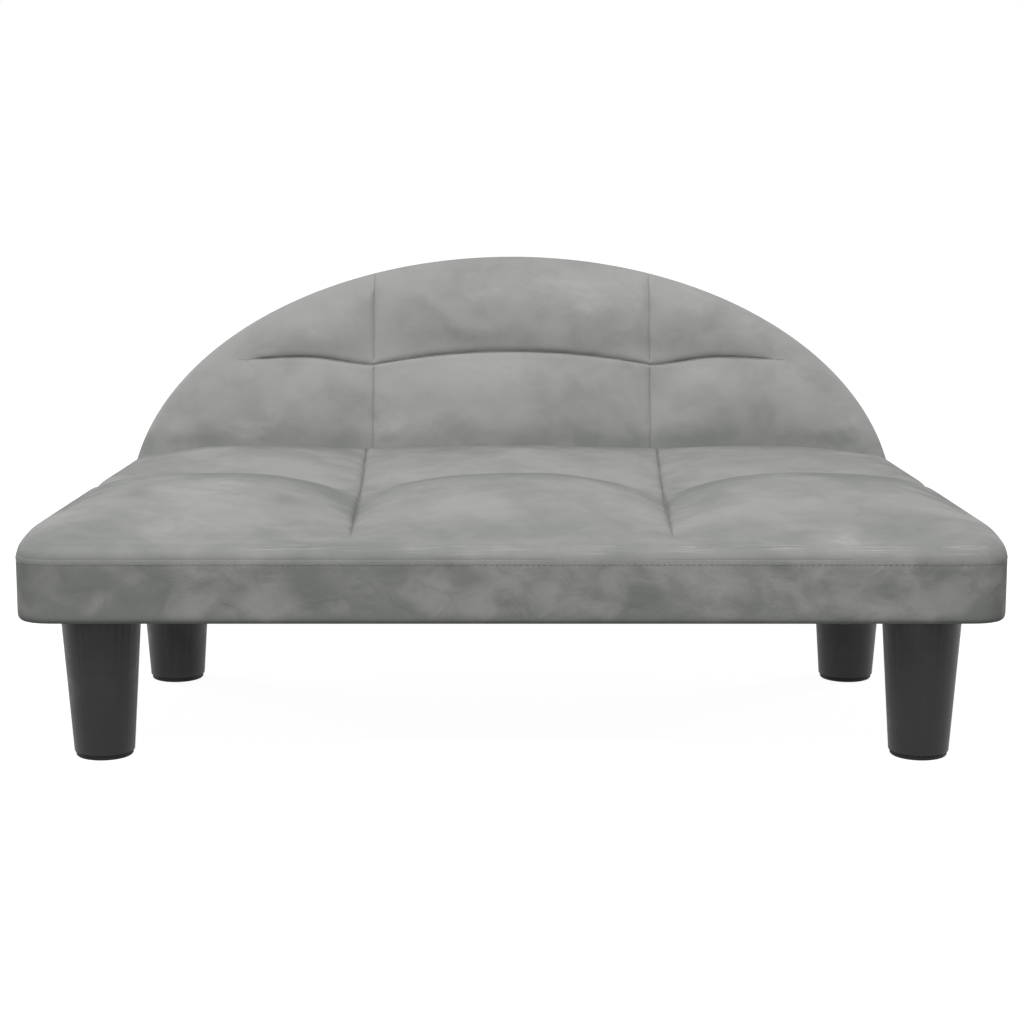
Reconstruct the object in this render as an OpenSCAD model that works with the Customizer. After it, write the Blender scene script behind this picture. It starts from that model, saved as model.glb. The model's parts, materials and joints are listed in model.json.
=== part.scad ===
// Small sofa bed for a dog: a quilted seat on four screw-in legs, with a leaning half-oval backrest.
// The front faces -Y, Z is up, and the middle of the footprint on the floor is the origin.

/* [Seat] */
// Width of the seat along its front edge
seat_w = 713; // [650:1:800]
// Depth of the seat along its underside, from the front face to the backrest
seat_d = 377; // [350:1:440]
// Width that each side of the seat loses over that depth
seat_draw = 31; // [10:1:50]
// Height of the seat's side, from the underside up to the seams
seat_h = 58; // [52:1:75]
// Height that a front panel swells above its seams
seat_crown = 20; // [6:1:28]
// Height that a rear panel swells above its seams
seat_rear_crown = 10; // [4:1:16]
// Height that the seat gains from the cross seam to the backrest
seat_rise = 12; // [0:1:18]
// Distance from the front face to the seam across the seat
seat_cross_seam = 235; // [190:1:260]
// Distance from the middle to each long seam, at the front face
seat_seam_x = 115; // [90:1:150]
// Distance that each long seam drifts outward over the seat's depth
seat_seam_drift = 9; // [0:1:20]
// Radius of the front corners, seen from above
seat_corner_r = 28; // [24:1:40]
// Radius of the corners beside the backrest, seen from above
seat_rear_corner_r = 20; // [18:1:30]
// Radius of the seat's top edge
seat_edge_r = 14; // [8:1:16]
// Radius of the seat's lower edge
seat_hem_r = 5; // [3:1:7]

/* [Backrest] */
// Width of the backrest
back_w = 662; // [600:1:740]
// Height of the straight sides below the oval, along the slope
back_skirt = 28; // [24:1:50]
// Height of the oval above the straight sides, along the slope
back_rise = 220; // [190:1:260]
// Thickness of the backrest
back_t = 48; // [44:1:60]
// Angle that the backrest leans back from upright
back_lean = 20; // [12:1:26]
// Radius of the rim at the front
back_edge_r = 18; // [10:1:20]
// Radius of the rim at the rear
back_hem_r = 6; // [3:1:8]
// Distance from the middle to each upright seam
back_seam_x = 120; // [90:1:150]
// Height of the seam across the backrest, along the slope
back_cross_seam = 152; // [125:1:165]
// Height that a lower panel swells above its seams
back_crown = 8; // [3:1:12]
// Height that an upper panel swells above its seams
back_upper_crown = 9; // [3:1:12]

/* [Legs] */
// Height from the floor to the seat's underside
leg_h = 107; // [80:1:130]
// Diameter of a leg at the seat
leg_top_dia = 58.4; // [52:0.1:64]
// Diameter of a leg at the floor
leg_foot_dia = 43.4; // [38:0.1:50]
// Distance from the front face to the front legs
front_leg_d = 50; // [44:1:70]
// Distance from the side of the seat to the middle of a front leg
front_leg_inset = 53.5; // [48:0.5:70]
// Distance from the backrest's foot to the rear legs
rear_leg_gap = 90; // [74:1:130]
// Distance from the side of the seat to the middle of a rear leg
rear_leg_inset = 56; // [48:0.5:70]
// Thickness of a leg's wall
leg_wall = 3; // [2:0.5:5]
// Thickness of the foot pad below the leg
pad_t = 4; // [2:0.5:6]

/* [Frame and upholstery] */
// Thickness of the quilted cover
skin = 2; // [1:0.5:3]
// Thickness of the dust cover under the seat
dust_t = 0.6; // [0.4:0.1:1]
// Thickness of the fabric on the back of the backrest
panel_t = 1.2; // [0.8:0.1:2]
// Thickness of the rails
rail_t = 18; // [15:1:22]
// Height of the rails
rail_h = 34; // [28:1:36]
// Thickness of the board under the foam
deck_t = 5; // [4:1:8]
// Thickness of the board in the backrest
board_t = 12; // [9:1:15]

/* [Hidden] */
$fn = 64;

// Room between soft pieces, and between a cover and what it is pulled over
fit = 0.3;
// Overrun of every cut
cut = 1;
// Running room of a thread, and room of a screw in its hole
run_fit = 0.05;

// Hardware of the legs
stud_r = 4;
stud_head_r = 7.5;
stud_head_t = 5.3;
stud_tip_gap = 0.6;
boss_r = 12;
boss_h = 18;
leg_cap_t = 6;
leg_rib_t = 2.4;
washer_r = 19;
washer_t = 1.5;
t_nut_flange_r = 11;
t_nut_flange_t = 1.6;
t_nut_barrel_r = 5;
t_nut_barrel_h = 10;
block_half = 32;
stud_hole_r = 6;
pad_plug_h = 6;
pad_step = 0.8;
pad_round_r = 1.6;

// Screws of the wooden frame
screw_r = 2;
screw_head_r = 4;
screw_head_t = 2.4;
frame_screw_l = 40;
deck_screw_l = 25;
cleat_screw_l = 30;
screw_end_gap = 10;
// Screws that hold the backrest
back_screw_r = 2.5;
back_screw_head_r = 4.5;
back_screw_head_t = 3;
back_screw_l = 45;
back_screw_washer_r = 7;
back_screw_washer_t = 1.2;
back_screw_s = 22;
back_screw_inner_x = 90;
back_screw_outer_x = 230;

// Staples of the dust cover
staple_w = 10;
staple_t = 0.7;
staple_pitch = 48;
dust_inset = 9;
staple_inset = 14;

// Room between the wooden frame and the cover, whose corners are faceted
frame_room = 2;
// Further room beside the board under the foam
deck_room = 2;
// Further room round the rim of the backrest's board
board_room = 3;
// Distance that the cover's turned-in edge stops short of the rails' inner faces
flange_short = 2;

// Batten in the middle of the seat, and cleat at the foot of the backrest
batten_half_w = 22;
cleat_half_l = 250;
cleat_s = 45;
back_flange = 26;
panel_inset = 8;

// Shares that shape the quilting
crown_power = 2.5;
front_skew = 1.7;
outer_seat_shares = [0, 0.07, 0.16, 0.4, 0.65, 0.86, 0.96, 1];
inner_seat_shares = [-0.95, -0.8, -0.45, 0, 0.45, 0.8, 0.95];
front_row_shares = [0, 0.07, 0.14, 0.4, 0.7, 0.93, 1];
rear_row_shares = [0.08, 0.3, 0.6, 0.9, 1];
outer_back_shares = [0, 0.14, 0.3, 0.48, 0.68, 0.87, 1];
inner_back_shares = [-0.92, -0.7, -0.35, 0, 0.35, 0.7, 0.92];
hidden_row_shares = [0, 0.5, 1];
lower_row_shares = [0.1, 0.35, 0.65, 0.9, 1];
upper_row_shares = [0.1, 0.35, 0.65, 1];
// Heights of the backrest's row lines beside the rim, as shares of the height there
cleat_line_share = 0.3;
crease_line_share = 0.55;
seam_line_share = 0.85;
// Share by which the lower edge of the backrest is drawn in
hem_share = 0.25;
edge_angles = [30, 60, 90];
oval_steps = 48;

// Levels above the floor
z_flange = leg_h + dust_t;
z_rail = z_flange + skin;
z_deck = z_rail + rail_h;
z_foam = z_deck + deck_t;
z_edge = leg_h + seat_h;
frame_inset = skin + frame_room;
rail_inset = frame_inset + rail_t;
back_foam_inset = skin + fit;
// The seat's foam has twice the room, for its corners
seat_foam_inset = skin + 2 * fit;

// The seat in plan: x across, d back from the front face
draw_share = seat_draw / seat_d;
side_sec = sqrt(1 + draw_share * draw_share);
lean_share = tan(back_lean);
function half_w(d) = seat_w / 2 - draw_share * d;
function seat_rear(z) = seat_d + (z - leg_h) * lean_share;
function seam_x(d) = seat_seam_x + seat_seam_drift * d / seat_d;

// The backrest's own frame: s up the slope, t back from its front face
back_foot_d = seat_d + fit / cos(back_lean);
back_top = back_skirt + back_rise;
back_rear_t = back_t - panel_t;
board_rear_t = back_rear_t - skin;
board_front_t = board_rear_t - board_t;
crease_s = (seat_h + seat_rise) / cos(back_lean) + skin;
shear_s = 2 * back_skirt;
function back_d(s, t) = back_foot_d + s * sin(back_lean) + t * cos(back_lean);
function back_z(s, t) = leg_h + s * cos(back_lean) - t * sin(back_lean);
function level_s(z, t) = (z - leg_h + t * sin(back_lean)) / cos(back_lean);

overall_d = back_d(back_top - panel_inset, back_t);
module place() {
    translate([0, -overall_d / 2, 0]) children();
}
// Puts a child drawn in x and y into the backrest's x and s, with its z along t
module on_back() {
    translate([0, back_foot_d, leg_h]) rotate([90 - back_lean, 0, 0]) mirror([0, 0, 1]) children();
}

// Helpers
function mix(a, b, share) = a + (b - a) * share;
function swell(share) = 1 - pow(abs(2 * share - 1), crown_power);
function smooth(share) = let (k = min(1, max(0, share))) k * k * (3 - 2 * k);
function reversed(list) = [for (i = [len(list) - 1:-1:0]) list[i]];
// Columns are [panel, share]: panel -1 and 1 run from the outer edge to a seam, 0 from seam to seam
function columns(outer, inner) = concat(
    [for (k = outer) [-1, k]], [for (k = inner) [0, k]], [for (k = reversed(outer)) [1, k]]
);
function column_swell(c) = c[0] == 0 ? 1 - pow(abs(c[1]), crown_power) : swell(c[1]);

// A closed skin: a grid of points, rings of points round its rim, and a second grid
function rim_loop(nx, ny) = concat(
    [for (i = [0:nx - 1]) [i, 0]], [for (j = [0:ny - 1]) [nx, j]],
    [for (i = [nx:-1:1]) [i, ny]], [for (j = [ny:-1:1]) [0, j]]
);
module padded_solid(cols, rows, rings, at, first, last) {
    nx = len(cols) - 1;
    ny = len(rows) - 1;
    loop = rim_loop(nx, ny);
    rim = len(loop);
    cells = (nx + 1) * (ny + 1);
    points = concat(
        [for (r = rows) for (c = cols) at(c, r, first)],
        [for (ring = rings) for (k = loop) at(cols[k[0]], rows[k[1]], ring)],
        [for (r = rows) for (c = cols) at(c, r, last)]
    );
    low = cells + rim * len(rings);
    grid = [for (j = [0:ny - 1]) for (i = [0:nx - 1]) let (a = j * (nx + 1) + i) [a, a + nx + 1, a + nx + 2, a + 1]];
    function ring_point(level, k) = let (m = k % rim, p = loop[m][1] * (nx + 1) + loop[m][0])
        level == 0 ? p : level > len(rings) ? low + p : cells + (level - 1) * rim + m;
    strips = [for (level = [0:len(rings)]) for (k = [0:rim - 1])
        [ring_point(level, k), ring_point(level, k + 1), ring_point(level + 1, k + 1), ring_point(level + 1, k)]];
    // The second grid faces the other way with the same diagonals, so that it lies evenly on what it covers
    quads = concat(grid, strips, [for (q = grid) [for (i = [0, 3, 2, 1]) q[i] + low]]);
    polyhedron(points, [for (q = quads) each [[q[0], q[1], q[2]], [q[0], q[2], q[3]]]], convexity = 6);
}

// Quilted seat
seat_columns = columns(outer_seat_shares, inner_seat_shares);
seat_rows = concat([for (k = front_row_shares) [0, k]], [for (k = rear_row_shares) [1, k]]);
function seat_seam_z(r) = z_edge + (r[0] == 1 ? seat_rise * smooth(r[1]) : 0);
function seat_swell(c, r) = column_swell(c)
    * (r[0] == 0 ? seat_crown * swell(pow(r[1], front_skew)) : seat_rear_crown * swell(r[1]));
function corner_pull(a, b) = a > 0 && b > 0 ? max(a, b) / norm([a, b]) : 1;
// A point of the seat at an inset from the outline and at a height, with its corners rounded
function seat_point(c, r, inset, z) =
    let (
        rear = seat_rear(z) - inset,
        d = r[0] == 0 ? mix(inset, seat_cross_seam, r[1]) : mix(seat_cross_seam, rear, r[1]),
        edge = half_w(d) - inset * side_sec,
        x = c[0] == 0 ? c[1] * seam_x(d) : c[0] * mix(edge, seam_x(d), c[1]),
        at_front = d < (inset + rear) / 2,
        radius = max(0, (at_front ? seat_corner_r : seat_rear_corner_r) - inset),
        mid_d = at_front ? inset + radius : rear - radius,
        mid_x = edge - radius,
        a = abs(x) - mid_x,
        b = at_front ? mid_d - d : d - mid_d,
        pull = corner_pull(a, b)
    )
    pull == 1 ? [x, d, z] : [sign(x) * (mid_x + a * pull), mid_d + (at_front ? -b : b) * pull, z];
// A ring is [inset, height, 1 if down from the seams or 0 if up from the underside, share of the swell]
seat_at = function (c, r, ring)
    let (z = ring[2] == 1 ? seat_seam_z(r) - ring[1] + ring[3] * seat_swell(c, r) : z_flange + ring[1])
    seat_point(c, r, ring[0], z);
function seat_edge_rings(room) = [
    for (a = edge_angles)
        [room + (seat_edge_r - room) * (1 - sin(a)), room + (seat_edge_r - room) * (1 - cos(a)), 1, 0]
];

module seat_cover() {
    color("#a1a29f") place() difference() {
        padded_solid(
            seat_columns, seat_rows,
            concat(
                seat_edge_rings(0),
                [
                    [0, seat_hem_r, 0, 0],
                    [seat_hem_r, 0, 0, 0],
                    [rail_inset - flange_short, 0, 0, 0],
                    [rail_inset - flange_short, skin, 0, 0],
                    [skin, skin, 0, 0]
                ],
                reversed([for (k = [1, 2]) seat_edge_rings(skin)[k]])
            ),
            seat_at, [seat_edge_r, 0, 1, 1], [seat_edge_r, skin, 1, 1]
        );
        back_screw_holes(back_screw_r + run_fit);
    }
}

module seat_foam() {
    color("#e8dfc4") place() padded_solid(
        seat_columns, seat_rows,
        concat(
            [for (k = [1, 2]) seat_edge_rings(seat_foam_inset)[k]],
            [[seat_foam_inset, z_foam - z_flange, 0, 0]]
        ),
        seat_at, [seat_edge_r, seat_foam_inset, 1, 1], [seat_edge_r, z_foam - z_flange, 0, 0]
    );
}

// Quilted backrest
back_columns = columns(outer_back_shares, inner_back_shares);
back_rows = concat(
    [for (k = hidden_row_shares) [0, k]], [for (k = lower_row_shares) [1, k]], [for (k = upper_row_shares) [2, k]]
);
function back_column_x(c, inset) =
    let (half = back_w / 2 - inset, seam_angle = asin(back_seam_x / half))
    c[0] == 0 ? c[1] * back_seam_x : c[0] * half * sin(mix(90, seam_angle, c[1]));
function oval_s(x, inset) =
    let (share = min(1, abs(x) / (back_w / 2 - inset)))
    back_skirt + (back_rise - inset) * sqrt(1 - share * share);
function hem_s(inset) = inset <= skin ? inset : skin + (inset - skin) * hem_share;
// Height of the panels above the seams, at a place inside the rim
function back_swell(x, s, top) =
    let (
        half = back_w / 2 - back_edge_r,
        rim_x = half * sqrt(max(0, 1 - pow(max(0, s - back_skirt) / (back_rise - back_edge_r), 2))),
        across = abs(x) < back_seam_x ? 1 - pow(abs(x) / back_seam_x, crown_power)
            : rim_x > back_seam_x ? swell((abs(x) - back_seam_x) / (rim_x - back_seam_x)) : 0,
        lower = swell((s - crease_s) / (min(back_cross_seam, top) - crease_s)),
        upper = swell((s - back_cross_seam) / (top - back_cross_seam))
    )
    s <= crease_s || s >= top ? 0
    : s < back_cross_seam ? max(0, across) * lower * back_crown
    : max(0, across) * upper * back_upper_crown;
// A ring is [inset, depth from the front face, 1 if it swells, 1 if it stops above the cleat]
back_at = function (c, r, ring)
    let (
        x = back_column_x(c, ring[0]),
        top = oval_s(x, ring[0]),
        above = ring[3] == 1 ? min(cleat_s + fit, cleat_line_share * top) : 0,
        foot = above + hem_s(ring[0]),
        crease = min(crease_s, crease_line_share * top),
        seam = min(back_cross_seam, seam_line_share * top),
        s = r[0] == 0 ? mix(foot, crease, r[1]) : r[0] == 1 ? mix(crease, seam, r[1]) : mix(seam, top, r[1]),
        t = ring[1] - (ring[2] == 0 ? 0 : back_swell(x, s, top)),
        sheared = s + t * lean_share * max(0, 1 - s / shear_s)
    )
    [x, back_d(sheared, t), back_z(sheared, t)];
function back_edge_rings(room, above_cleat) = [
    for (a = edge_angles) [
        room + (back_edge_r - room) * (1 - sin(a)), room + (back_edge_r - room) * (1 - cos(a)), 0, above_cleat
    ]
];

module back_cover() {
    color("#999a97") place() difference() {
        padded_solid(
            back_columns, back_rows,
            concat(
                back_edge_rings(0, 0),
                [
                    [0, back_rear_t - back_hem_r, 0, 0],
                    [back_hem_r, back_rear_t, 0, 0],
                    [back_flange, back_rear_t, 0, 0],
                    [back_flange, board_rear_t, 0, 0],
                    [skin, board_rear_t, 0, 0]
                ],
                reversed([for (k = [1, 2]) back_edge_rings(skin, 0)[k]])
            ),
            back_at, [back_edge_r, 0, 1, 0], [back_edge_r, skin, 1, 0]
        );
        back_screw_holes(back_screw_r + run_fit);
    }
}

module back_foam() {
    color("#e8dfc4") place() padded_solid(
        back_columns, back_rows,
        concat(
            [for (k = [1, 2]) back_edge_rings(back_foam_inset, 1)[k]],
            [[back_foam_inset, board_front_t, 0, 1]]
        ),
        back_at, [back_edge_r, back_foam_inset, 1, 1], [back_edge_r, board_front_t, 0, 1]
    );
}

// Half oval with straight sides, drawn in x and s, from a lower line up
module oval_plate(inset, low) {
    half = back_w / 2 - inset;
    polygon(concat(
        [[-half, low], [half, low]],
        [for (k = [0:oval_steps]) let (a = 180 * k / oval_steps)
            [half * cos(a), back_skirt + (back_rise - inset) * sin(a)]]
    ));
}

module back_board() {
    low = level_s(z_rail + fit, board_rear_t);
    color("#c9a877") place() difference() {
        on_back() translate([0, 0, board_front_t])
            linear_extrude(board_t) oval_plate(frame_inset + board_room, low);
        cleat_screw_set(run_fit);
    }
}

module back_panel() {
    low = level_s(z_flange, back_t) + panel_inset * hem_share;
    color("#8f908d") place() on_back() translate([0, 0, back_rear_t])
        linear_extrude(panel_t) oval_plate(panel_inset, low);
}

// Cleat at the foot of the backrest, level below, square above and bevelled inside the cover's round edge
module back_cleat() {
    front = frame_inset;
    low = z_rail + fit;
    bevel_t = skin + (back_edge_r - skin) / 2;
    bevel_s = hem_s(back_edge_r) + skin;
    section = [
        [back_d(bevel_s, front), back_z(bevel_s, front)],
        [back_d(level_s(low, bevel_t), bevel_t), low],
        [back_d(level_s(low, board_front_t), board_front_t), low],
        [back_d(cleat_s, board_front_t), back_z(cleat_s, board_front_t)],
        [back_d(cleat_s, front), back_z(cleat_s, front)]
    ];
    color("#d8bd8c") place() difference() {
        along_x(cleat_half_l) polygon(section);
        cleat_screw_set(run_fit);
        back_screw_holes(back_screw_r + run_fit);
    }
}

// Extrudes a section drawn in d and z along x, to the same distance on both sides
module along_x(half_length) {
    rotate([90, 0, 90]) translate([0, 0, -half_length]) linear_extrude(2 * half_length) children();
}

// Outline of the seat at an inset, with round corners, up to a rear line
module seat_plan(inset, rear) {
    front_r = seat_corner_r - inset;
    rear_r = seat_rear_corner_r - inset;
    front_mid = [half_w(seat_corner_r) - seat_corner_r * side_sec, seat_corner_r];
    rear_mid_d = rear - seat_rear_corner_r;
    rear_mid = [half_w(rear_mid_d) - seat_rear_corner_r * side_sec, rear_mid_d];
    side = [1, draw_share] / side_sec;
    right = [
        [front_mid[0], inset], front_mid + front_r * side, rear_mid + rear_r * side, [rear_mid[0], rear - inset]
    ];
    polygon(concat(right, [for (p = reversed(right)) [-p[0], p[1]]]));
    for (m = [-1, 1]) {
        translate([m * front_mid[0], front_mid[1]]) circle(front_r);
        translate([m * rear_mid[0], rear_mid[1]]) circle(rear_r);
    }
}

// Section of the frame between the front rail and the leaning rear rail, in d and z
module bay_section() {
    rear_inset = rail_inset / cos(back_lean);
    polygon([
        [rail_inset, z_rail],
        [seat_rear(z_rail) - rear_inset, z_rail],
        [seat_rear(z_deck) - rear_inset, z_deck],
        [rail_inset, z_deck]
    ]);
}

module front_rail() {
    color("#d8bd8c") place() difference() {
        intersection() {
            translate([0, 0, z_rail]) linear_extrude(rail_h) seat_plan(frame_inset, seat_d);
            translate([-seat_w / 2, 0, z_rail]) cube([seat_w, rail_inset, rail_h]);
        }
        frame_screw_set(run_fit);
    }
}

// Rear rail seen along the slope, in x and t, with round ends that follow the cover's corners
rail_face_t = -(fit + frame_inset);
rail_end_r = (seat_rear_corner_r - frame_inset) * cos(back_lean);
rail_end_mid = [
    half_w(seat_rear(z_deck) - seat_rear_corner_r) - seat_rear_corner_r * side_sec,
    rail_face_t - rail_end_r
];
module rear_rail_outline() {
    reach = rail_end_mid[0] + rail_end_r;
    intersection() {
        translate([-reach, rail_face_t - rail_t]) square([2 * reach, rail_t]);
        union() {
            translate([-rail_end_mid[0], rail_face_t - rail_t]) square([2 * rail_end_mid[0], rail_t]);
            translate([-reach, rail_end_mid[1] - rail_t]) square([2 * reach, rail_t]);
            for (m = [-1, 1]) translate([m * rail_end_mid[0], rail_end_mid[1]]) circle(rail_end_r);
        }
    }
}

module rear_rail() {
    near = frame_inset / cos(back_lean);
    far = rail_inset / cos(back_lean);
    low = level_s(z_rail, -rail_inset) - rail_t;
    high = level_s(z_deck, 0) + rail_t;
    section = [
        [seat_rear(z_rail) - far, z_rail],
        [seat_rear(z_rail) - near, z_rail],
        [seat_rear(z_deck) - near, z_deck],
        [seat_rear(z_deck) - far, z_deck]
    ];
    color("#d8bd8c") place() difference() {
        intersection() {
            along_x(seat_w / 2) polygon(section);
            on_back() translate([0, high, 0]) rotate([90, 0, 0]) linear_extrude(high - low) rear_rail_outline();
        }
        frame_screw_set(run_fit);
        back_screw_holes(back_screw_r + run_fit);
    }
}

// Strip along one side of the seat: side is 1 on the right and -1 on the left
module side_strip(side, outer, inner, front, rear) {
    polygon([
        [side * (half_w(front) - outer * side_sec), front],
        [side * (half_w(rear) - outer * side_sec), rear],
        [side * (half_w(rear) - inner * side_sec), rear],
        [side * (half_w(front) - inner * side_sec), front]
    ]);
}

module side_rail(side) {
    color("#d8bd8c") place() difference() {
        intersection() {
            translate([0, 0, z_rail]) linear_extrude(rail_h) intersection() {
                side_strip(side, frame_inset, rail_inset, rail_inset, seat_rear(z_deck));
                seat_plan(frame_inset, seat_rear(z_deck) + seat_rear_corner_r);
            }
            along_x(seat_w / 2) bay_section();
        }
        frame_screw_set(run_fit);
    }
}

module centre_batten() {
    color("#d8bd8c") place() difference() {
        along_x(batten_half_w) bay_section();
        frame_screw_set(run_fit);
    }
}

// Block that carries one leg's nut, fitted between the rails
module leg_block(leg) {
    at = leg_at(leg);
    side = sign(at[0]);
    low_d = leg[1] == 0 ? rail_inset : at[1] - block_half;
    high_d = at[1] + block_half;
    inner_x = abs(at[0]) - block_half;
    outer = (rail_inset + fit) * side_sec;
    // The front blocks clear the round corner of the cover's hem
    corner = leg[1] == 0 ? 2 * max(0, seat_corner_r - rail_inset) : 0;
    color("#cfae78") place() difference() {
        translate([0, 0, z_flange]) linear_extrude(z_deck - z_flange) polygon([
            [side * inner_x, low_d],
            [side * (half_w(low_d) - outer - corner), low_d],
            if (corner > 0) [side * (half_w(low_d + corner) - outer), low_d + corner],
            [side * (half_w(high_d) - outer), high_d],
            [side * inner_x, high_d]
        ]);
        at_leg(leg) {
            translate([0, 0, z_flange - cut]) cylinder(h = z_deck - z_flange + 2 * cut, r = t_nut_barrel_r + run_fit);
            translate([0, 0, z_deck - t_nut_flange_t]) cylinder(h = t_nut_flange_t + cut, r = t_nut_flange_r + fit);
        }
        deck_screw_set(run_fit);
    }
}

// Board under the foam, and the screws that hold it to the leg blocks
module seat_deck() {
    color("#c9a877") place() difference() {
        translate([0, 0, z_deck]) linear_extrude(deck_t)
            seat_plan(frame_inset + deck_room, seat_rear(z_deck));
        deck_screw_set(run_fit);
    }
}

// One screw that points down -Z with its head's face at the origin; room makes it the cut for the screw
module screw(length, room) {
    translate([0, 0, -length]) cylinder(h = length, r = screw_r + room);
    translate([0, 0, -screw_head_t]) cylinder(h = screw_head_t, r1 = screw_r + room, r2 = screw_head_r + room);
    if (room > 0) cylinder(h = seat_corner_r / 2, r = screw_head_r + room);
}

module deck_screw_set(room) {
    for (leg = LEGS) let (at = leg_at(leg)) for (m = [-1, 1])
        translate([at[0] - sign(at[0]) * (block_half - screw_end_gap), at[1] + m * (block_half - screw_end_gap), z_foam])
            screw(deck_screw_l, room);
}

module deck_screws() {
    color("#b9b9b4") place() deck_screw_set(0);
}

// Depths at which a screw head clears the round corners in front and behind
corner_reach = max(0, seat_corner_r - rail_inset + 2 * screw_head_r);
sunk_d = seat_corner_r - sqrt(pow(seat_corner_r - frame_inset, 2) - corner_reach * corner_reach);
rear_screw_x = half_w(seat_d) - (rail_inset - rail_t / 2) * side_sec;
rear_reach = max(0, rear_screw_x + screw_head_r - rail_end_mid[0]);
sunk_t = rail_end_mid[1] + sqrt(rail_end_r * rail_end_r - rear_reach * rear_reach);
module frame_screw_set(room) {
    front_x = half_w(rail_inset) - rail_inset * side_sec + screw_head_r;
    for (x = [-front_x, 0, front_x]) for (z = [z_rail + screw_end_gap, z_deck - screw_end_gap])
        translate([x, x == 0 ? frame_inset : sunk_d, z]) rotate([90, 0, 0]) screw(frame_screw_l, room);
    // The rear screws climb forward, square to the leaning rail
    rear_height = [z_rail + screw_head_r + skin, z_deck - frame_screw_l * sin(back_lean) - screw_head_r];
    for (x = [-rear_screw_x, 0, rear_screw_x]) for (z = rear_height)
        let (t = x == 0 ? rail_face_t : sunk_t)
            on_back() translate([x, level_s(z, t), t]) screw(frame_screw_l, room);
}

module frame_screws() {
    color("#b9b9b4") place() frame_screw_set(0);
}

module cleat_screw_set(room) {
    for (m = [-1, 0, 1])
        on_back() translate([m * (cleat_half_l - 2 * block_half), cleat_s - screw_end_gap, board_rear_t])
            screw(cleat_screw_l, room);
}

module cleat_screws() {
    color("#b9b9b4") place() cleat_screw_set(0);
}

// Screws from the rear rail into the cleat, through both covers
back_screw_start = -(fit + rail_inset);
module at_back_screws() {
    for (x = [-back_screw_outer_x, -back_screw_inner_x, back_screw_inner_x, back_screw_outer_x])
        on_back() translate([x, back_screw_s, back_screw_start]) children();
}

module back_screw_holes(radius) {
    at_back_screws() translate([0, 0, -cut]) cylinder(h = back_screw_l + cut, r = radius);
}

module back_screws() {
    color("#b9b9b4") place() at_back_screws() {
        translate([0, 0, -back_screw_washer_t]) cylinder(h = back_screw_l + back_screw_washer_t, r = back_screw_r);
        translate([0, 0, -back_screw_washer_t - back_screw_head_t])
            cylinder(h = back_screw_head_t, r = back_screw_head_r);
    }
}

module back_screw_washers() {
    color("#b9b9b4") place() at_back_screws() translate([0, 0, -back_screw_washer_t]) difference() {
        cylinder(h = back_screw_washer_t, r = back_screw_washer_r);
        translate([0, 0, -cut]) cylinder(h = back_screw_washer_t + 2 * cut, r = back_screw_r + run_fit);
    }
}

// Fabric that closes the seat's underside, and the staples along its edge
module dust_cover() {
    color("#2b2b2c") place() translate([0, 0, leg_h]) linear_extrude(dust_t) difference() {
        seat_plan(dust_inset, seat_rear(leg_h));
        for (leg = LEGS) translate(leg_at(leg)) circle(stud_hole_r);
    }
}

module staple() {
    translate([-staple_w / 2, -staple_t / 2, leg_h - staple_t]) cube([staple_w, staple_t, staple_t]);
}

module dust_cover_staples() {
    rear = seat_d - staple_inset;
    count_x = floor((seat_w - 2 * seat_corner_r) / staple_pitch / 2);
    count_d = floor((seat_d - 2 * seat_corner_r) / staple_pitch);
    color("#b9b9b4") place() {
        for (k = [-count_x:count_x]) {
            translate([k * staple_pitch, staple_inset, 0]) staple();
            if (abs(k * staple_pitch) < half_w(seat_d) - seat_rear_corner_r) translate([k * staple_pitch, rear, 0]) staple();
        }
        for (k = [0:count_d]) for (m = [-1, 1]) let (d = seat_corner_r + staple_pitch / 2 + k * staple_pitch)
            if (d < rear - seat_rear_corner_r)
                translate([m * (half_w(d) - staple_inset), d, 0]) rotate([0, 0, 90]) staple();
    }
}

// Legs: [side, 0 in front or 1 behind]
LEGS = [[-1, 0], [1, 0], [-1, 1], [1, 1]];
function leg_at(leg) = let (d = leg[1] == 0 ? front_leg_d : seat_d - rear_leg_gap)
    [leg[0] * (half_w(d) - (leg[1] == 0 ? front_leg_inset : rear_leg_inset)), d];
module at_leg(leg) {
    translate(leg_at(leg)) children();
}
leg_top_z = leg_h - washer_t;
function leg_r(z) = mix(leg_foot_dia, leg_top_dia, z / leg_h) / 2;

// Hollow tapered leg with a boss and four ribs under its closed top
module leg(leg) {
    cap_z = leg_top_z - leg_cap_t;
    boss_z = cap_z - boss_h;
    color("#3a3a3b") place() at_leg(leg) difference() {
        union() {
            difference() {
                translate([0, 0, pad_t]) cylinder(h = leg_top_z - pad_t, r1 = leg_r(pad_t), r2 = leg_r(leg_top_z));
                translate([0, 0, pad_t - cut])
                    cylinder(h = cap_z - pad_t + cut, r1 = leg_r(pad_t - cut) - leg_wall, r2 = leg_r(cap_z) - leg_wall);
            }
            translate([0, 0, boss_z]) cylinder(h = boss_h + cut, r = boss_r);
            for (a = [45, 135]) rotate([0, 0, a]) translate([-leg_r(boss_z) + leg_wall / 2, -leg_rib_t / 2, boss_z])
                cube([2 * leg_r(boss_z) - leg_wall, leg_rib_t, boss_h + cut]);
        }
        translate([0, 0, boss_z - cut]) cylinder(h = leg_top_z - boss_z + 2 * cut, r = stud_r + run_fit);
    }
}

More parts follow.
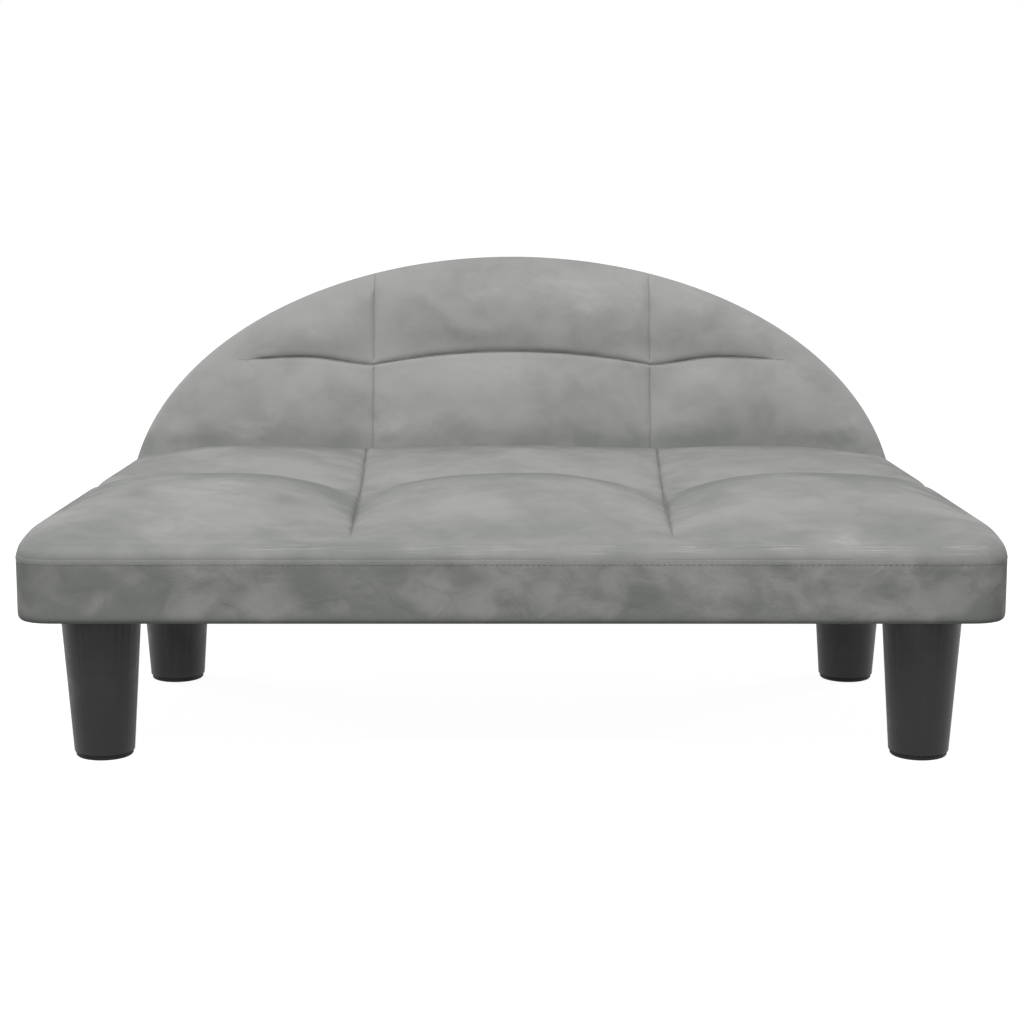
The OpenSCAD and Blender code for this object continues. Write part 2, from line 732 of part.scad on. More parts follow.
// Bolt that stands up from the leg, its head under the boss
module leg_stud(leg) {
    head_z = leg_top_z - leg_cap_t - boss_h;
    color("#b9b9b4") place() at_leg(leg) {
        translate([0, 0, head_z - stud_head_t]) cylinder(h = stud_head_t, r = stud_head_r, $fn = 6);
        translate([0, 0, head_z - stud_head_t / 2])
            cylinder(h = z_deck - stud_tip_gap - head_z + stud_head_t / 2, r = stud_r);
    }
}

// Foot pad pressed into the open end of the leg
module foot_pad(leg) {
    radius = leg_r(0) - pad_step;
    color("#161616") place() at_leg(leg) {
        rotate_extrude() {
            translate([0, pad_round_r]) square([radius, pad_t - pad_round_r]);
            square([radius - pad_round_r, pad_round_r + fit]);
            translate([radius - pad_round_r, pad_round_r]) circle(pad_round_r);
        }
        translate([0, 0, pad_t - fit]) cylinder(h = pad_plug_h + fit, r = leg_r(pad_t) - leg_wall - fit);
    }
}

module leg_washer(leg) {
    color("#1d1d1e") place() at_leg(leg) translate([0, 0, leg_top_z]) difference() {
        cylinder(h = washer_t, r = washer_r);
        translate([0, 0, -cut]) cylinder(h = washer_t + 2 * cut, r = stud_r + run_fit);
    }
}

// Nuts driven into the top of the blocks, one for each leg
module leg_t_nuts() {
    color("#b9b9b4") place() for (leg = LEGS) at_leg(leg) translate([0, 0, z_deck]) difference() {
        union() {
            translate([0, 0, -t_nut_flange_t]) cylinder(h = t_nut_flange_t, r = t_nut_flange_r);
            translate([0, 0, -t_nut_flange_t - t_nut_barrel_h])
                cylinder(h = t_nut_barrel_h + t_nut_flange_t / 2, r = t_nut_barrel_r);
        }
        translate([0, 0, -t_nut_flange_t - t_nut_barrel_h - cut])
            cylinder(h = t_nut_flange_t + t_nut_barrel_h + 2 * cut, r = stud_r + run_fit);
    }
}

front_rail();
rear_rail();
side_rail(-1);  // side_rail_left
side_rail(1);  // side_rail_right
centre_batten();
leg_block(LEGS[0]);  // leg_block_front_left
leg_block(LEGS[1]);  // leg_block_front_right
leg_block(LEGS[2]);  // leg_block_rear_left
leg_block(LEGS[3]);  // leg_block_rear_right
frame_screws();
seat_deck();
deck_screws();
seat_foam();
seat_cover();
dust_cover();
dust_cover_staples();
back_board();
back_cleat();
cleat_screws();
back_foam();
back_cover();
back_panel();
back_screws();
back_screw_washers();
leg_t_nuts();
leg(LEGS[0]);  // leg_front_left
leg(LEGS[1]);  // leg_front_right
leg(LEGS[2]);  // leg_rear_left
leg(LEGS[3]);  // leg_rear_right
leg_stud(LEGS[0]);  // leg_stud_front_left
leg_stud(LEGS[1]);  // leg_stud_front_right
leg_stud(LEGS[2]);  // leg_stud_rear_left
leg_stud(LEGS[3]);  // leg_stud_rear_right
foot_pad(LEGS[0]);  // foot_pad_front_left
foot_pad(LEGS[1]);  // foot_pad_front_right
foot_pad(LEGS[2]);  // foot_pad_rear_left
foot_pad(LEGS[3]);  // foot_pad_rear_right
leg_washer(LEGS[0]);  // leg_washer_front_left
leg_washer(LEGS[1]);  // leg_washer_front_right
leg_washer(LEGS[2]);  // leg_washer_rear_left
leg_washer(LEGS[3]);  // leg_washer_rear_right
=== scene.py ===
"""Dog sofa bed: a quilted velvet seat and leaning backrest on four screw-in legs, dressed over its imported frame."""

import json
import math

import bmesh
import bpy
import numpy as np
from bpy.props import FloatProperty, FloatVectorProperty, IntProperty, PointerProperty
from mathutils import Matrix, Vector, bvhtree, noise

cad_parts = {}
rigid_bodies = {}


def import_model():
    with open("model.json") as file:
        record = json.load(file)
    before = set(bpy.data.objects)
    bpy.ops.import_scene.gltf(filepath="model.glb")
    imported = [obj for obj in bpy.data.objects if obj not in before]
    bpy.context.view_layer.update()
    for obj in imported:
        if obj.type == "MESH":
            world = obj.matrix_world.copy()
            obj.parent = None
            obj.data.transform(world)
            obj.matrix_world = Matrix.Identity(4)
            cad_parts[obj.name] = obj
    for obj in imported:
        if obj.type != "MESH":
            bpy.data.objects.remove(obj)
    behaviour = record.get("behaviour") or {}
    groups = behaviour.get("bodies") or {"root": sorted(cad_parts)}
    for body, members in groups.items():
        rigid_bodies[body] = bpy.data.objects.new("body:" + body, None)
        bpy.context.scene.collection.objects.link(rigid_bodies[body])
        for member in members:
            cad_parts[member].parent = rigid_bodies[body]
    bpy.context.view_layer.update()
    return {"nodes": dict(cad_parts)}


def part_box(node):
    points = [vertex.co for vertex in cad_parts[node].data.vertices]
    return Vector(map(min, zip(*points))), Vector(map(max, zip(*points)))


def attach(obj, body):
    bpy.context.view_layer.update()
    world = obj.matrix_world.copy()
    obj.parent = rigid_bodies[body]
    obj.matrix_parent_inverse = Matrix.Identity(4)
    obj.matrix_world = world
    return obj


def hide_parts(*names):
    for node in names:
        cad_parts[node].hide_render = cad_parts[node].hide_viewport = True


bl_info = {
    "name": "Dog sofa bed",
    "version": (1, 0, 0),
    "blender": (4, 5, 0),
    "location": "3D View > Sidebar > Dog Bed",
    "description": "A quilted velvet sofa bed for a dog, dressed over its frame",
    "category": "Object",
}

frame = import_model()

LEGS = ("front_left", "front_right", "rear_left", "rear_right")
# Offsets of the rows of points beside a sewn seam, and round a corner
BESIDE_SEAM = (0.0, 0.0013, 0.0032, 0.006)
AT_CORNER = (0.0, 0.0045, 0.009, 0.0135, 0.019)
# How sharply a panel rises from its seams, and how far the front panels' crest lies back
CROWN_POWER = 2.5
FRONT_SKEW = 1.7
# Room between two pieces that touch
ROOM = 0.0003
# Reach of a seam where two of them meet, and distance at which the gathers beside a seam begin
SEAM_PULL = 0.004
GATHER_START = 0.002
# Distance from a seam within which the cloth is held down in the simulation, and how far it may move a rim's point
HELD_GAP = 0.0006
RIM_GIVE = 0.003
# Heights of the lip beside a seam, of the gathers that cross it, and of the stuffing's large and small lumps
LIP, GATHERS, LUMPS, SMALL_LUMPS = 0.0003, 0.0011, 0.0011, 0.0004
# Distance of the border seam below a side's top edge, and of its stitches below the level of the seams
BORDER_DROP = 0.010
STITCH_DROP = 0.0136
# Height of a stitch's middle above the cloth
STITCH_LIFT = 0.0001
# Reach of the backrest's cross seam to each side, and the length over which it fades
CROSS_REACH = 0.236
CROSS_FADE = 0.024
# Spacing of the foam's points, and angles of the points round its rim
FOAM_PITCH = 0.012
FOAM_RIM = (15, 30, 45, 60, 75, 90)
# Inset and height of the foam's lower edge, which is cut at a slant
CUT_INSET, CUT_RISE = 0.0008, 0.0006
# Least value that is divided by
TINY = 1e-6
# Point that the lamps face, and plain white
LIT = (0.0, 0.0, 0.15)
WHITE = (1.0, 1.0, 1.0)

# Places where the pile is brushed, in millimetres: middle along x, y and z, reach along x, y and z, and strength,
# which is below 0 where the pile is laid flat
BRUSHED = (
    (-230, 155, 190, 17, 20, 9, 1.0), (-210, 160, 201, 9, 20, 14, 1.0), (-103, 157, 194, 16, 20, 11, 1.0),
    (-70, 158, 197, 12, 20, 12, 0.6), (-174, 186, 273, 9, 20, 6, 0.8), (-10, 172, 235, 40, 30, 15, 0.6),
    (-5, 198, 307, 40, 30, 15, 0.5), (52, 199, 311, 25, 30, 11, 0.7), (66, 193, 294, 18, 30, 9, 0.9),
    (109, 195, 298, 13, 30, 11, 0.6), (158, 198, 307, 14, 30, 9, 0.5), (206, 187, 277, 25, 30, 15, 0.8),
    (165, 172, 237, 13, 20, 9, 0.7), (252, 168, 226, 11, 20, 18, 0.5), (147, 159, 201, 18, 20, 9, 0.6),
    (122, 182, 264, 34, 20, 12, -0.9), (158, 188, 281, 34, 20, 12, -0.8), (43, 164, 214, 43, 20, 16, -0.6),
    (208, 161, 206, 42, 20, 16, -0.6), (294, 155, 189, 12, 20, 12, -0.6), (-45, 184, 268, 50, 20, 9, -0.5),
    (-166, 161, 206, 34, 20, 16, -0.4), (279, -252, 146, 8, 15, 11, 1.3), (321, -252, 145, 9, 15, 8, 0.7),
    (-57, -252, 133, 16, 15, 14, 0.6), (134, -252, 136, 23, 15, 11, 0.5), (-227, -252, 143, 27, 15, 8, 0.4),
    (-142, -252, 138, 21, 15, 20, -0.9), (-245, -252, 133, 26, 15, 17, -0.5), (91, -252, 133, 21, 15, 13, -0.5),
    (183, -252, 133, 28, 15, 14, -0.5), (-105, -252, 138, 21, 15, 13, -0.5), (236, -235, 167, 13, 22, 12, 1.0),
    (-244, -143, 178, 36, 30, 20, 0.5), (-210, -121, 178, 42, 30, 20, 0.6), (-278, -143, 178, 10, 18, 20, -0.7),
    (-169, -150, 178, 8, 20, 20, -0.6), (225, 300, 220, 60, 50, 50, 0.5),
)


# Sizes and colours

def size(name, text, value, high=1.0):
    return FloatProperty(name=name, description=text, default=value, min=0.0, max=high, unit="LENGTH")


def share(name, text, value, high=1.0):
    return FloatProperty(name=name, description=text, default=value, min=0.0, max=high)


def angle(name, text, degrees):
    return FloatProperty(name=name, description=text, default=math.radians(degrees), unit="ROTATION")


def colour(name, text, value):
    return FloatVectorProperty(name=name, description=text, default=value, min=0.0, max=1.0, subtype="COLOR")


class SeatSizes(bpy.types.PropertyGroup):
    """Sizes of the quilted seat"""
    width: size("Width", "Width of the seat along its front edge", 0.713)
    depth: size("Depth", "Depth of the seat's underside, up to the backrest", 0.377)
    taper: size("Taper", "Width that each side loses over the depth", 0.031)
    underside: size("Underside", "Height of the seat's underside above the floor", 0.107)
    dust: size("Dust cover", "Thickness of the dust cover below the cover's hem", 0.0006)
    side: size("Side", "Height of the side, up to the seams", 0.058)
    crown: size("Front crown", "Height that a front panel swells above its seams", 0.0235)
    rear_crown: size("Rear crown", "Height that a rear panel swells above its seams", 0.010)
    rise: size("Rise", "Height that the seat gains from the cross seam to the backrest", 0.012)
    cross_seam: size("Cross seam", "Distance from the front face to the cross seam", 0.235)
    seam_x: size("Long seams", "Distance from the middle to each long seam, in front", 0.115)
    drift: size("Seam drift", "Distance that each long seam drifts outward towards the back", 0.009)
    side_lift: size("Side lift", "Height of each side's top edge above the front's, lifted by the stuffing", 0.0068)
    notch: share("Notch", "Share of that lift that the cross seam takes away at its end", 0.4)
    corner: size("Front corners", "Radius of the front corners, seen from above", 0.028)
    rear_corner: size("Rear corners", "Radius of the rear corners, seen from above", 0.020)
    edge: size("Top edge", "Radius of the top edge", 0.014)
    hem: size("Lower edge", "Radius of the lower edge", 0.004)
    flange: size("Flange", "Width of the cover that is turned in below the frame", 0.022)
    skin: size("Cover", "Thickness of the quilted cover", 0.002)
    foam_level: size("Foam level", "Height of the foam's underside above the floor", 0.1486)


class BackSizes(bpy.types.PropertyGroup):
    """Sizes of the quilted backrest"""
    width: size("Width", "Width of the backrest", 0.662)
    skirt: size("Skirt", "Height of the straight sides below the oval", 0.028)
    rise: size("Oval", "Height of the oval above the straight sides", 0.220)
    depth: size("Thickness", "Thickness of the backrest", 0.048)
    lean: angle("Lean", "Angle that the backrest leans back", 20.0)
    edge: size("Front rim", "Radius of the rim in front", 0.018)
    hem: size("Rear rim", "Radius of the rim behind", 0.006)
    seam_x: size("Upright seams", "Distance from the middle to each upright seam", 0.120)
    cross_seam: size("Cross seam", "Height of the cross seam up the slope", 0.152)
    seam_dip: size("Seam dip", "Distance that the cross seam dips where the upright seams meet it", 0.0055)
    arch: size("Arch", "Height that the cross seam gains in the middle of the middle panel", 0.0115)
    side_arch: size("Side arch", "Height that the cross seam gains in a side panel", 0.0065)
    crown: size("Lower crown", "Height that a lower panel swells above its seams", 0.008)
    upper_crown: size("Upper crown", "Height that an upper panel swells above its seams", 0.009)
    panel: size("Rear fabric", "Thickness of the fabric that closes the back", 0.0012)
    panel_inset: size("Rear fabric inset", "Distance from the rim to the rear fabric's hem", 0.008)
    flange: size("Flange", "Width of the cover that is turned in behind the board", 0.026)
    board: size("Board", "Thickness of the board inside", 0.012)
    cleat: size("Cleat", "Height of the cleat at the backrest's foot, up the slope", 0.045)


class ClothSizes(bpy.types.PropertyGroup):
    """How the covers are blown up and sewn"""
    grid: size("Grid", "Distance between the points of a cover before it is smoothed", 0.0076)
    pressure: share("Pressure", "Pressure inside a cover while it is blown up", 4.0, 50.0)
    frames: IntProperty(name="Frames", description="Frames of the simulation", default=20, min=2, max=60)
    fullness: share("Fullness", "Share by which the cloth is cut larger than its panel", 0.012)
    seam_depth: size("Seam depth", "Depth of the sewn line below the fabric beside it", 0.0018)
    seam_reach: size("Seam reach", "Distance over which the fabric dips to the seam", 0.0011)
    stitch_pitch: size("Stitch pitch", "Distance from one stitch to the next", 0.0042)
    stitch: size("Stitch", "Length of one stitch that shows", 0.0032)
    thread: size("Thread", "Radius of the thread", 0.00028)


class BedColours(bpy.types.PropertyGroup):
    """Colours of the fabrics and materials"""
    velvet: colour("Velvet", "Colour of the pile where it is smooth", (0.354, 0.355, 0.346))
    # Velvet shade colours the darker random patches and also the painted shade on the covers
    velvet_dark: colour("Velvet shade", "Colour of the pile brushed away from the eye", (0.224, 0.234, 0.224))
    # Velvet light colours the brushed spots and, made lighter, the painted highlight on the top edge's thread lines
    velvet_light: colour("Velvet light", "Colour of the pile brushed towards the eye", (0.470, 0.470, 0.455))
    thread: colour("Thread", "Colour of the sewing thread", (0.300, 0.304, 0.294))
    rear: colour("Rear fabric", "Colour of the fabric behind the backrest", (0.270, 0.275, 0.266))
    dust: colour("Dust cover", "Colour of the cloth under the seat", (0.020, 0.020, 0.021))
    foam: colour("Foam", "Colour of the foam", (0.800, 0.740, 0.550))
    pine: colour("Pine", "Colour of the frame's wood", (0.620, 0.430, 0.240))
    board: colour("Board", "Colour of the boards", (0.500, 0.345, 0.185))
    leg: colour("Legs", "Colour of the legs", (0.0115, 0.0115, 0.0119))
    pad: colour("Pads", "Colour of the foot pads and washers", (0.007, 0.007, 0.007))
    zinc: colour("Zinc", "Colour of the screws, bolts and staples", (0.560, 0.560, 0.540))


class StageSizes(bpy.types.PropertyGroup):
    """Camera, lamps and floor"""
    camera: FloatVectorProperty(
        name="Camera", description="Place of the camera", default=(0.0003, -1.949, 0.4859), subtype="TRANSLATION"
    )
    pitch: angle("Pitch", "Angle that the camera looks down", 9.9257)
    lens: FloatProperty(name="Lens", description="Focal length in millimetres", default=86.246, min=1.0, max=500.0)
    key: share("Key lamp", "Strength of the key lamp in watts", 79.0, 1000.0)
    fill: share("Fill lamp", "Strength of the fill lamp in watts", 5.0, 1000.0)
    side: share("Side lamps", "Strength of each side lamp in watts", 24.0, 1000.0)
    sky: share("Sky", "Strength of the even light from all round", 0.20, 10.0)


# Shapes

def smooth(k):
    k = np.clip(k, 0.0, 1.0)
    return k * k * (3.0 - 2.0 * k)


def ramp(value, start, end):
    """0 up to the start, 1 from the end on and smooth between, or the other way round where the end is the lower."""
    return smooth((value - start) / (end - start))


def swell(k):
    return 1.0 - np.abs(2.0 * k - 1.0) ** CROWN_POWER


def bell(gap, reach):
    return np.exp(-((gap / reach) ** 2))


def mix(a, b, k):
    return a + (b - a) * k


def arc(radius, *degrees, room=0.0):
    """Inset and drop of points round a rim, from its flat side to its upright side, inside a cover of that room."""
    turn = radius - room
    return [(room + turn * (1 - math.sin(a)), room + turn * (1 - math.cos(a))) for a in map(math.radians, degrees)]


def steps(length, pitch, start=(0.0,), end=(0.0,)):
    """Places along a panel as shares of its length: the given offsets at its ends, even steps between them."""
    count = max(1, round((length - start[-1] - end[-1]) / pitch))
    even = np.linspace(start[-1], length - end[-1], count + 1)
    return np.concatenate([start[:-1], even, [length - e for e in reversed(end[:-1])]]) / length


def banded(*bands):
    """Places in consecutive panels as rows of [panel, share]."""
    return np.array([(n, k) for n, places in bands for k in places])


def panel_columns(outer, inner, pitch, edge):
    """Columns of points across three panels, as rows of [panel, share]."""
    side = steps(outer, pitch, edge, BESIDE_SEAM)
    between = steps(inner, pitch, BESIDE_SEAM, BESIDE_SEAM)[1:-1]
    return banded((-1, side), (0, 2 * between - 1), (1, side[::-1]))


def rim_loop(nx, ny):
    """Columns and rows of the points round a grid's rim, front edge first."""
    return np.array(
        [(i, 0) for i in range(nx)] + [(nx, j) for j in range(ny)]
        + [(i, ny) for i in range(nx, 0, -1)] + [(0, j) for j in range(ny, 0, -1)]
    )


def middle(s, b):
    """Distance from the front face to the middle of the footprint."""
    rise = b.skirt + b.rise - b.panel_inset
    return (s.depth + ROOM / math.cos(b.lean) + rise * math.sin(b.lean) + b.depth * math.cos(b.lean)) / 2


def puckers(along, across, seed):
    """Small gathers that cross a seam."""
    return np.array([noise.noise(Vector((a * 62, c * 13, seed))) for a, c in zip(along, across)])


def sewn(seams, reach, waves):
    """Distance to the seam that presses most, its share of the full depth, and the gathers beside all of them.

    Each seam is a (distance, share), and each has its own wave of gathers.
    """
    gaps, holds = (np.array(part) for part in zip(*seams))
    best = np.argmax(holds * np.exp(-gaps / SEAM_PULL), axis=0)
    spot = np.arange(gaps.shape[1])
    gathers = holds * np.exp(-gaps / reach) * (1 - np.exp(-gaps / GATHER_START)) * waves
    return gaps[best, spot], holds[best, spot], gathers.sum(axis=0)


class SeatForm:
    """The seat's outline, seams and crowns as a function of column and row."""

    def __init__(self, s, b):
        self.s = s
        self.middle = middle(s, b)
        self.draw = s.taper / s.depth
        self.secant = math.hypot(1.0, self.draw)
        self.lean = math.tan(b.lean)
        self.top = s.underside + s.side
        self.low = s.underside + s.dust
        self.faces = np.array((0.0, 0.0, 1.0))

    def lattice(self, pitch):
        """Columns and rows of points across the panels."""
        s = self.s
        front = steps(s.cross_seam - s.edge, pitch, AT_CORNER, BESIDE_SEAM)
        rear = steps(s.depth - s.cross_seam + s.side * self.lean, pitch, BESIDE_SEAM, AT_CORNER)[1:]
        outer = s.width / 2 - s.edge - s.taper / 2 - s.seam_x
        return panel_columns(outer, 2 * s.seam_x, pitch, AT_CORNER), banded((0, front), (1, rear))

    def half(self, d, inset=0.0):
        """Distance from the middle to a side, at a distance behind the front face."""
        return self.s.width / 2 - self.draw * d - inset * self.secant

    def rear(self, z):
        return self.s.depth + (z - self.s.underside) * self.lean

    def seam(self, d):
        return self.s.seam_x + self.s.drift * d / self.s.depth

    def side_level(self, d):
        """Height of a side's top edge: lifted by the stuffing and notched by the cross seam."""
        s = self.s
        notch = s.notch * bell(d - s.cross_seam, 0.013)
        return self.top + s.side_lift * ramp(d, 0.0, 0.060) * (1.0 - notch)

    def seam_level(self, d):
        return self.top + self.s.rise * ramp(d, self.s.cross_seam, self.rear(self.top) - self.s.edge)

    def seams(self, points):
        """Distance to the nearest seam, its share of the full depth, and the gathers beside it."""
        s = self.s
        x, d, z = points[:, 0], points[:, 1] + self.middle, points[:, 2]
        border_gap = np.abs(z - self.side_level(np.maximum(d, 0.0)) + BORDER_DROP)
        broken = ramp(puckers(0.15 * (x + d), 0 * x, 9.5), -0.2, 0.2)
        inside = z > self.top - s.edge / 2
        seams = [
            (np.abs(np.abs(x) - self.seam(d)), np.where(inside, 0.85 * ramp(d, 0.020, 0.075), 0.0)),
            (np.abs(d - s.cross_seam), np.where(inside, ramp(self.half(d) - np.abs(x), 0.012, 0.030), 0.0)),
            (border_gap, np.where(z > self.top - 2 * s.edge, 0.04 + 0.13 * broken, 0.0)),
        ]
        return sewn(seams, 0.012, (puckers(d, x, 1.5), puckers(x, d, 4.5), puckers(x + d, 0 * x, 7.5)))

    def shown(self, points):
        """Points above the cover's lower half, where the stuffing makes lumps."""
        return points[:, 2] > self.s.foam_level

    def fixed(self, points):
        """Points at the rear, which the backrest holds."""
        return points[:, 1] + self.middle > self.s.depth + 0.004

    def top_edge(self, points):
        """1 along the rounded top edge of the front, where the stretched cloth shows its thread lines, lightened as a
        painted highlight.
        """
        d = points[:, 1] + self.middle
        front = ramp(self.half(0.0) - np.abs(points[:, 0]), 0.010, 0.040) * ramp(d, 0.014, 0.006)
        return front * bell(points[:, 2] - self.top + 0.003, 0.0035)

    def painted_light(self, points, out):
        """Painted light and shade where the cloth faces the way of out: above 0 lightens the velvet as a painted
        highlight, below 0 darkens it as painted shade; and how strong its patches are.

        Painted shade over the tops, where the panels face back at and behind each crest, on the front band, on the top
        edge where it turns to the front and near the cover's foot; painted highlights where the rear panels face the
        front and on a strip across the front panels.
        """
        d = points[:, 1] + self.middle
        past_seam = d - self.s.cross_seam
        band = ramp(self.side_level(np.maximum(d, 0.0)) - points[:, 2], BORDER_DROP, BORDER_DROP + 0.004)
        top = ramp(out[:, 2], 0.7, 0.9)
        ahead = ramp(d, 0.060, 0.120) * ramp(d, 0.213, 0.168)
        crest = ramp(out[:, 1], -0.05, 0.08) * (0.80 * ahead + 0.35 * ramp(past_seam, 0.015, 0.045))
        rise = 0.34 * ramp(out[:, 1], -0.02, -0.24) * ramp(past_seam, 0.0, 0.010)
        slope = 0.22 * bell(d - 0.080, 0.028)
        edge = 0.20 * ramp(out[:, 1], -0.10, -0.45) * (1.0 - band)
        foot = 0.5 * ramp(points[:, 2] - self.low, 0.010, 0.003)
        return top * (rise - crest + slope - 0.12) - 0.16 * band - edge - foot, 0.48 + 0.97 * band

    def rounded(self, x, d, rear, inset):
        """Moves points that lie outside the outline's corners onto their rounds."""
        front = d < (inset + rear) / 2
        radius = np.maximum(0.0, np.where(front, self.s.corner, self.s.rear_corner) - inset)
        mid_d = np.where(front, inset + radius, rear - radius)
        mid_x = self.half(d, inset) - radius
        a = np.abs(x) - mid_x
        b = np.where(front, mid_d - d, d - mid_d)
        corner = (a > 0) & (b > 0)
        pull = np.maximum(a, b) / np.maximum(np.hypot(a, b), TINY)
        return (
            np.where(corner, np.sign(x) * (mid_x + a * pull), x),
            np.where(corner, mid_d + np.where(front, -b, b) * pull, d),
        )

    def points(self, col, row, ring, crown=1.0):
        """Points for a ring of (inset, drop below the seams, share of the way down, rise above the hem, crown)."""
        s = self.s
        inset, drop, down, rise, crowned = ring
        side, k = col.T
        band, q = row.T
        over = np.where(side == 0, 1.0 - np.abs(k) ** CROWN_POWER, swell(k))
        hill = np.where(band == 0, s.crown * swell(q ** FRONT_SKEW), s.rear_crown * swell(q))
        seams = self.top + np.where(band == 1, s.rise * smooth(q), 0.0)
        ahead = mix(inset, s.cross_seam, q)
        deep = np.where(band == 0, ahead, mix(s.cross_seam, self.rear(self.top) - inset, q))
        beside = np.where(side == 0, 0.0, ramp(k, 0.45, 0.0))
        seams = mix(seams, self.side_level(deep), beside)
        z = mix(seams - drop + crowned * crown * over * hill, self.low + rise, down)
        rear = self.rear(z) - inset
        d = np.where(band == 0, ahead, mix(s.cross_seam, rear, q))
        x = np.where(side == 0, k * self.seam(d), side * mix(self.half(d, inset), self.seam(d), k))
        x, d = self.rounded(x, d, rear, inset)
        return np.column_stack([x, d - self.middle, z])


class BackForm:
    """The backrest's outline, seams and crowns as a function of column and row, in its leaning frame."""

    def __init__(self, s, b):
        self.s, self.b = s, b
        self.sin, self.cos, self.tan = math.sin(b.lean), math.cos(b.lean), math.tan(b.lean)
        self.foot = s.depth + ROOM / self.cos
        self.crease = (s.side + s.rise) / self.cos + s.skin
        self.middle = middle(s, b)
        self.faces = np.array((0.0, -self.cos, self.sin))

    def lattice(self, pitch):
        """Columns and rows of points across the panels."""
        b = self.b
        hidden = steps(self.crease, 1.3 * pitch)
        lower = steps(b.cross_seam - self.crease, pitch, (0.0,), BESIDE_SEAM)[1:]
        upper = steps(b.skirt + b.rise - b.edge - b.cross_seam, pitch, BESIDE_SEAM, (0.0, 0.004))[1:]
        half = b.width / 2 - b.edge
        bend = math.asin(b.seam_x / half)
        columns = panel_columns(half * math.cos(bend) * (math.pi / 2 - bend), 2 * b.seam_x, pitch, (0.0,))
        return columns, banded((0, hidden), (1, lower), (2, upper))

    def place(self, x, up, back):
        """World points from the backrest's own x, height up the slope and depth."""
        d = self.foot + up * self.sin + back * self.cos
        return np.column_stack([x, d - self.middle, self.s.underside + up * self.cos - back * self.sin])

    def parts(self, points):
        """The backrest's own x, height up the slope and depth of world points."""
        d = points[:, 1] + self.middle - self.foot
        z = points[:, 2] - self.s.underside
        return points[:, 0], d * self.sin + z * self.cos, d * self.cos - z * self.sin

    def seams(self, points):
        """Distance to the nearest seam, its share of the full depth, and the gathers beside it."""
        b = self.b
        x, up, depth = self.parts(points)
        front = ramp(depth, 0.55 * b.edge, 0.20 * b.edge)
        upright = 0.45 * front * ramp(up - 0.6 * self.crease, 0.0, 0.01)
        cross = 0.85 * front * ramp(np.abs(x), CROSS_REACH, CROSS_REACH - CROSS_FADE)
        seams = [(np.abs(np.abs(x) - b.seam_x), upright), (np.abs(up - self.seam_level(x)), cross)]
        return sewn(seams, 0.010, (puckers(up, x, 2.5), puckers(x, up, 5.5)))

    def shown(self, points):
        """Points before the cover's rear half, where the stuffing makes lumps."""
        return self.parts(points)[2] < self.b.depth / 2

    def fixed(self, points):
        """Points at the foot, which the seat hides."""
        return self.parts(points)[1] < 0.8 * self.crease

    def top_edge(self, points):
        return np.zeros(len(points))

    def painted_light(self, points, out):
        """Painted light and shade where the cloth faces the way of out: above 0 lightens the velvet as a painted
        highlight, below 0 darkens it as painted shade; and how strong its patches are.

        Lighter all over and more so where the backrest faces up, with painted shade near the crease at the seat.
        """
        low = ramp(self.parts(points)[1] - self.crease, 0.024, 0.0)
        return 0.18 + 0.15 * np.clip(out[:, 2] - self.sin, -0.2, 0.2) - 0.35 * low, np.full(len(points), 0.60)

    def oval(self, x, inset):
        """Height of the outline up the slope."""
        k = np.minimum(1.0, np.abs(x) / (self.b.width / 2 - inset))
        return self.b.skirt + (self.b.rise - inset) * np.sqrt(1.0 - k * k)

    def seam_level(self, x):
        """Height of the cross seam, which the stuffing lifts in the middle of each panel."""
        b = self.b
        beyond = (np.abs(x) - b.seam_x) / (0.385 * b.width - b.seam_x)
        side = b.side_arch * ramp(beyond, 0.0, 0.45) * (1.0 - 0.4 * ramp(beyond, 0.45, 1.0))
        arch = np.where(np.abs(x) < b.seam_x, b.arch * (1.0 - (x / b.seam_x) ** 2), side)
        return b.cross_seam - b.seam_dip + arch

    def hem(self, inset):
        """Height of the foot up the slope, which a flange that is turned in leaves by less than its inset."""
        return inset if inset <= self.s.skin else self.s.skin + (inset - self.s.skin) * 0.25

    def hill(self, x, up, top):
        """Height of the panels above their seams at a place inside the rim."""
        b = self.b
        reach = (up - b.skirt).clip(0) / (b.rise - b.edge)
        rim = (b.width / 2 - b.edge) * np.sqrt(np.maximum(0.0, 1.0 - reach ** 2))
        beyond = swell((np.abs(x) - b.seam_x) / np.maximum(rim - b.seam_x, TINY))
        within = 1.0 - np.abs(x / b.seam_x) ** CROWN_POWER
        over = np.where(np.abs(x) < b.seam_x, within, np.where(rim > b.seam_x, beyond, 0.0)).clip(0)
        level = self.seam_level(x)
        lower = swell((up - self.crease) / np.maximum(np.minimum(level, top) - self.crease, TINY)) * b.crown
        room = np.maximum(top - level, TINY)
        upper = swell((up - level) / room) * b.upper_crown * ramp(room, 0.0, 0.085)
        inside = (up > self.crease) & (up < top)
        return np.where(inside, over * np.where(up < level, lower, upper).clip(0), 0.0)

    def points(self, col, row, ring, crown=1.0):
        """Points for a ring of (inset, depth behind the front face, crown, 1 if it stops above the cleat)."""
        b = self.b
        inset, back, crowned, stops = ring
        side, k = col.T
        band, q = row.T
        half = b.width / 2 - inset
        bend = mix(math.pi / 2, math.asin(b.seam_x / half), k)
        x = np.where(side == 0, k * b.seam_x, side * half * np.sin(bend))
        top = self.oval(x, inset)
        foot = np.minimum(b.cleat + ROOM, 0.3 * top) * stops + self.hem(inset)
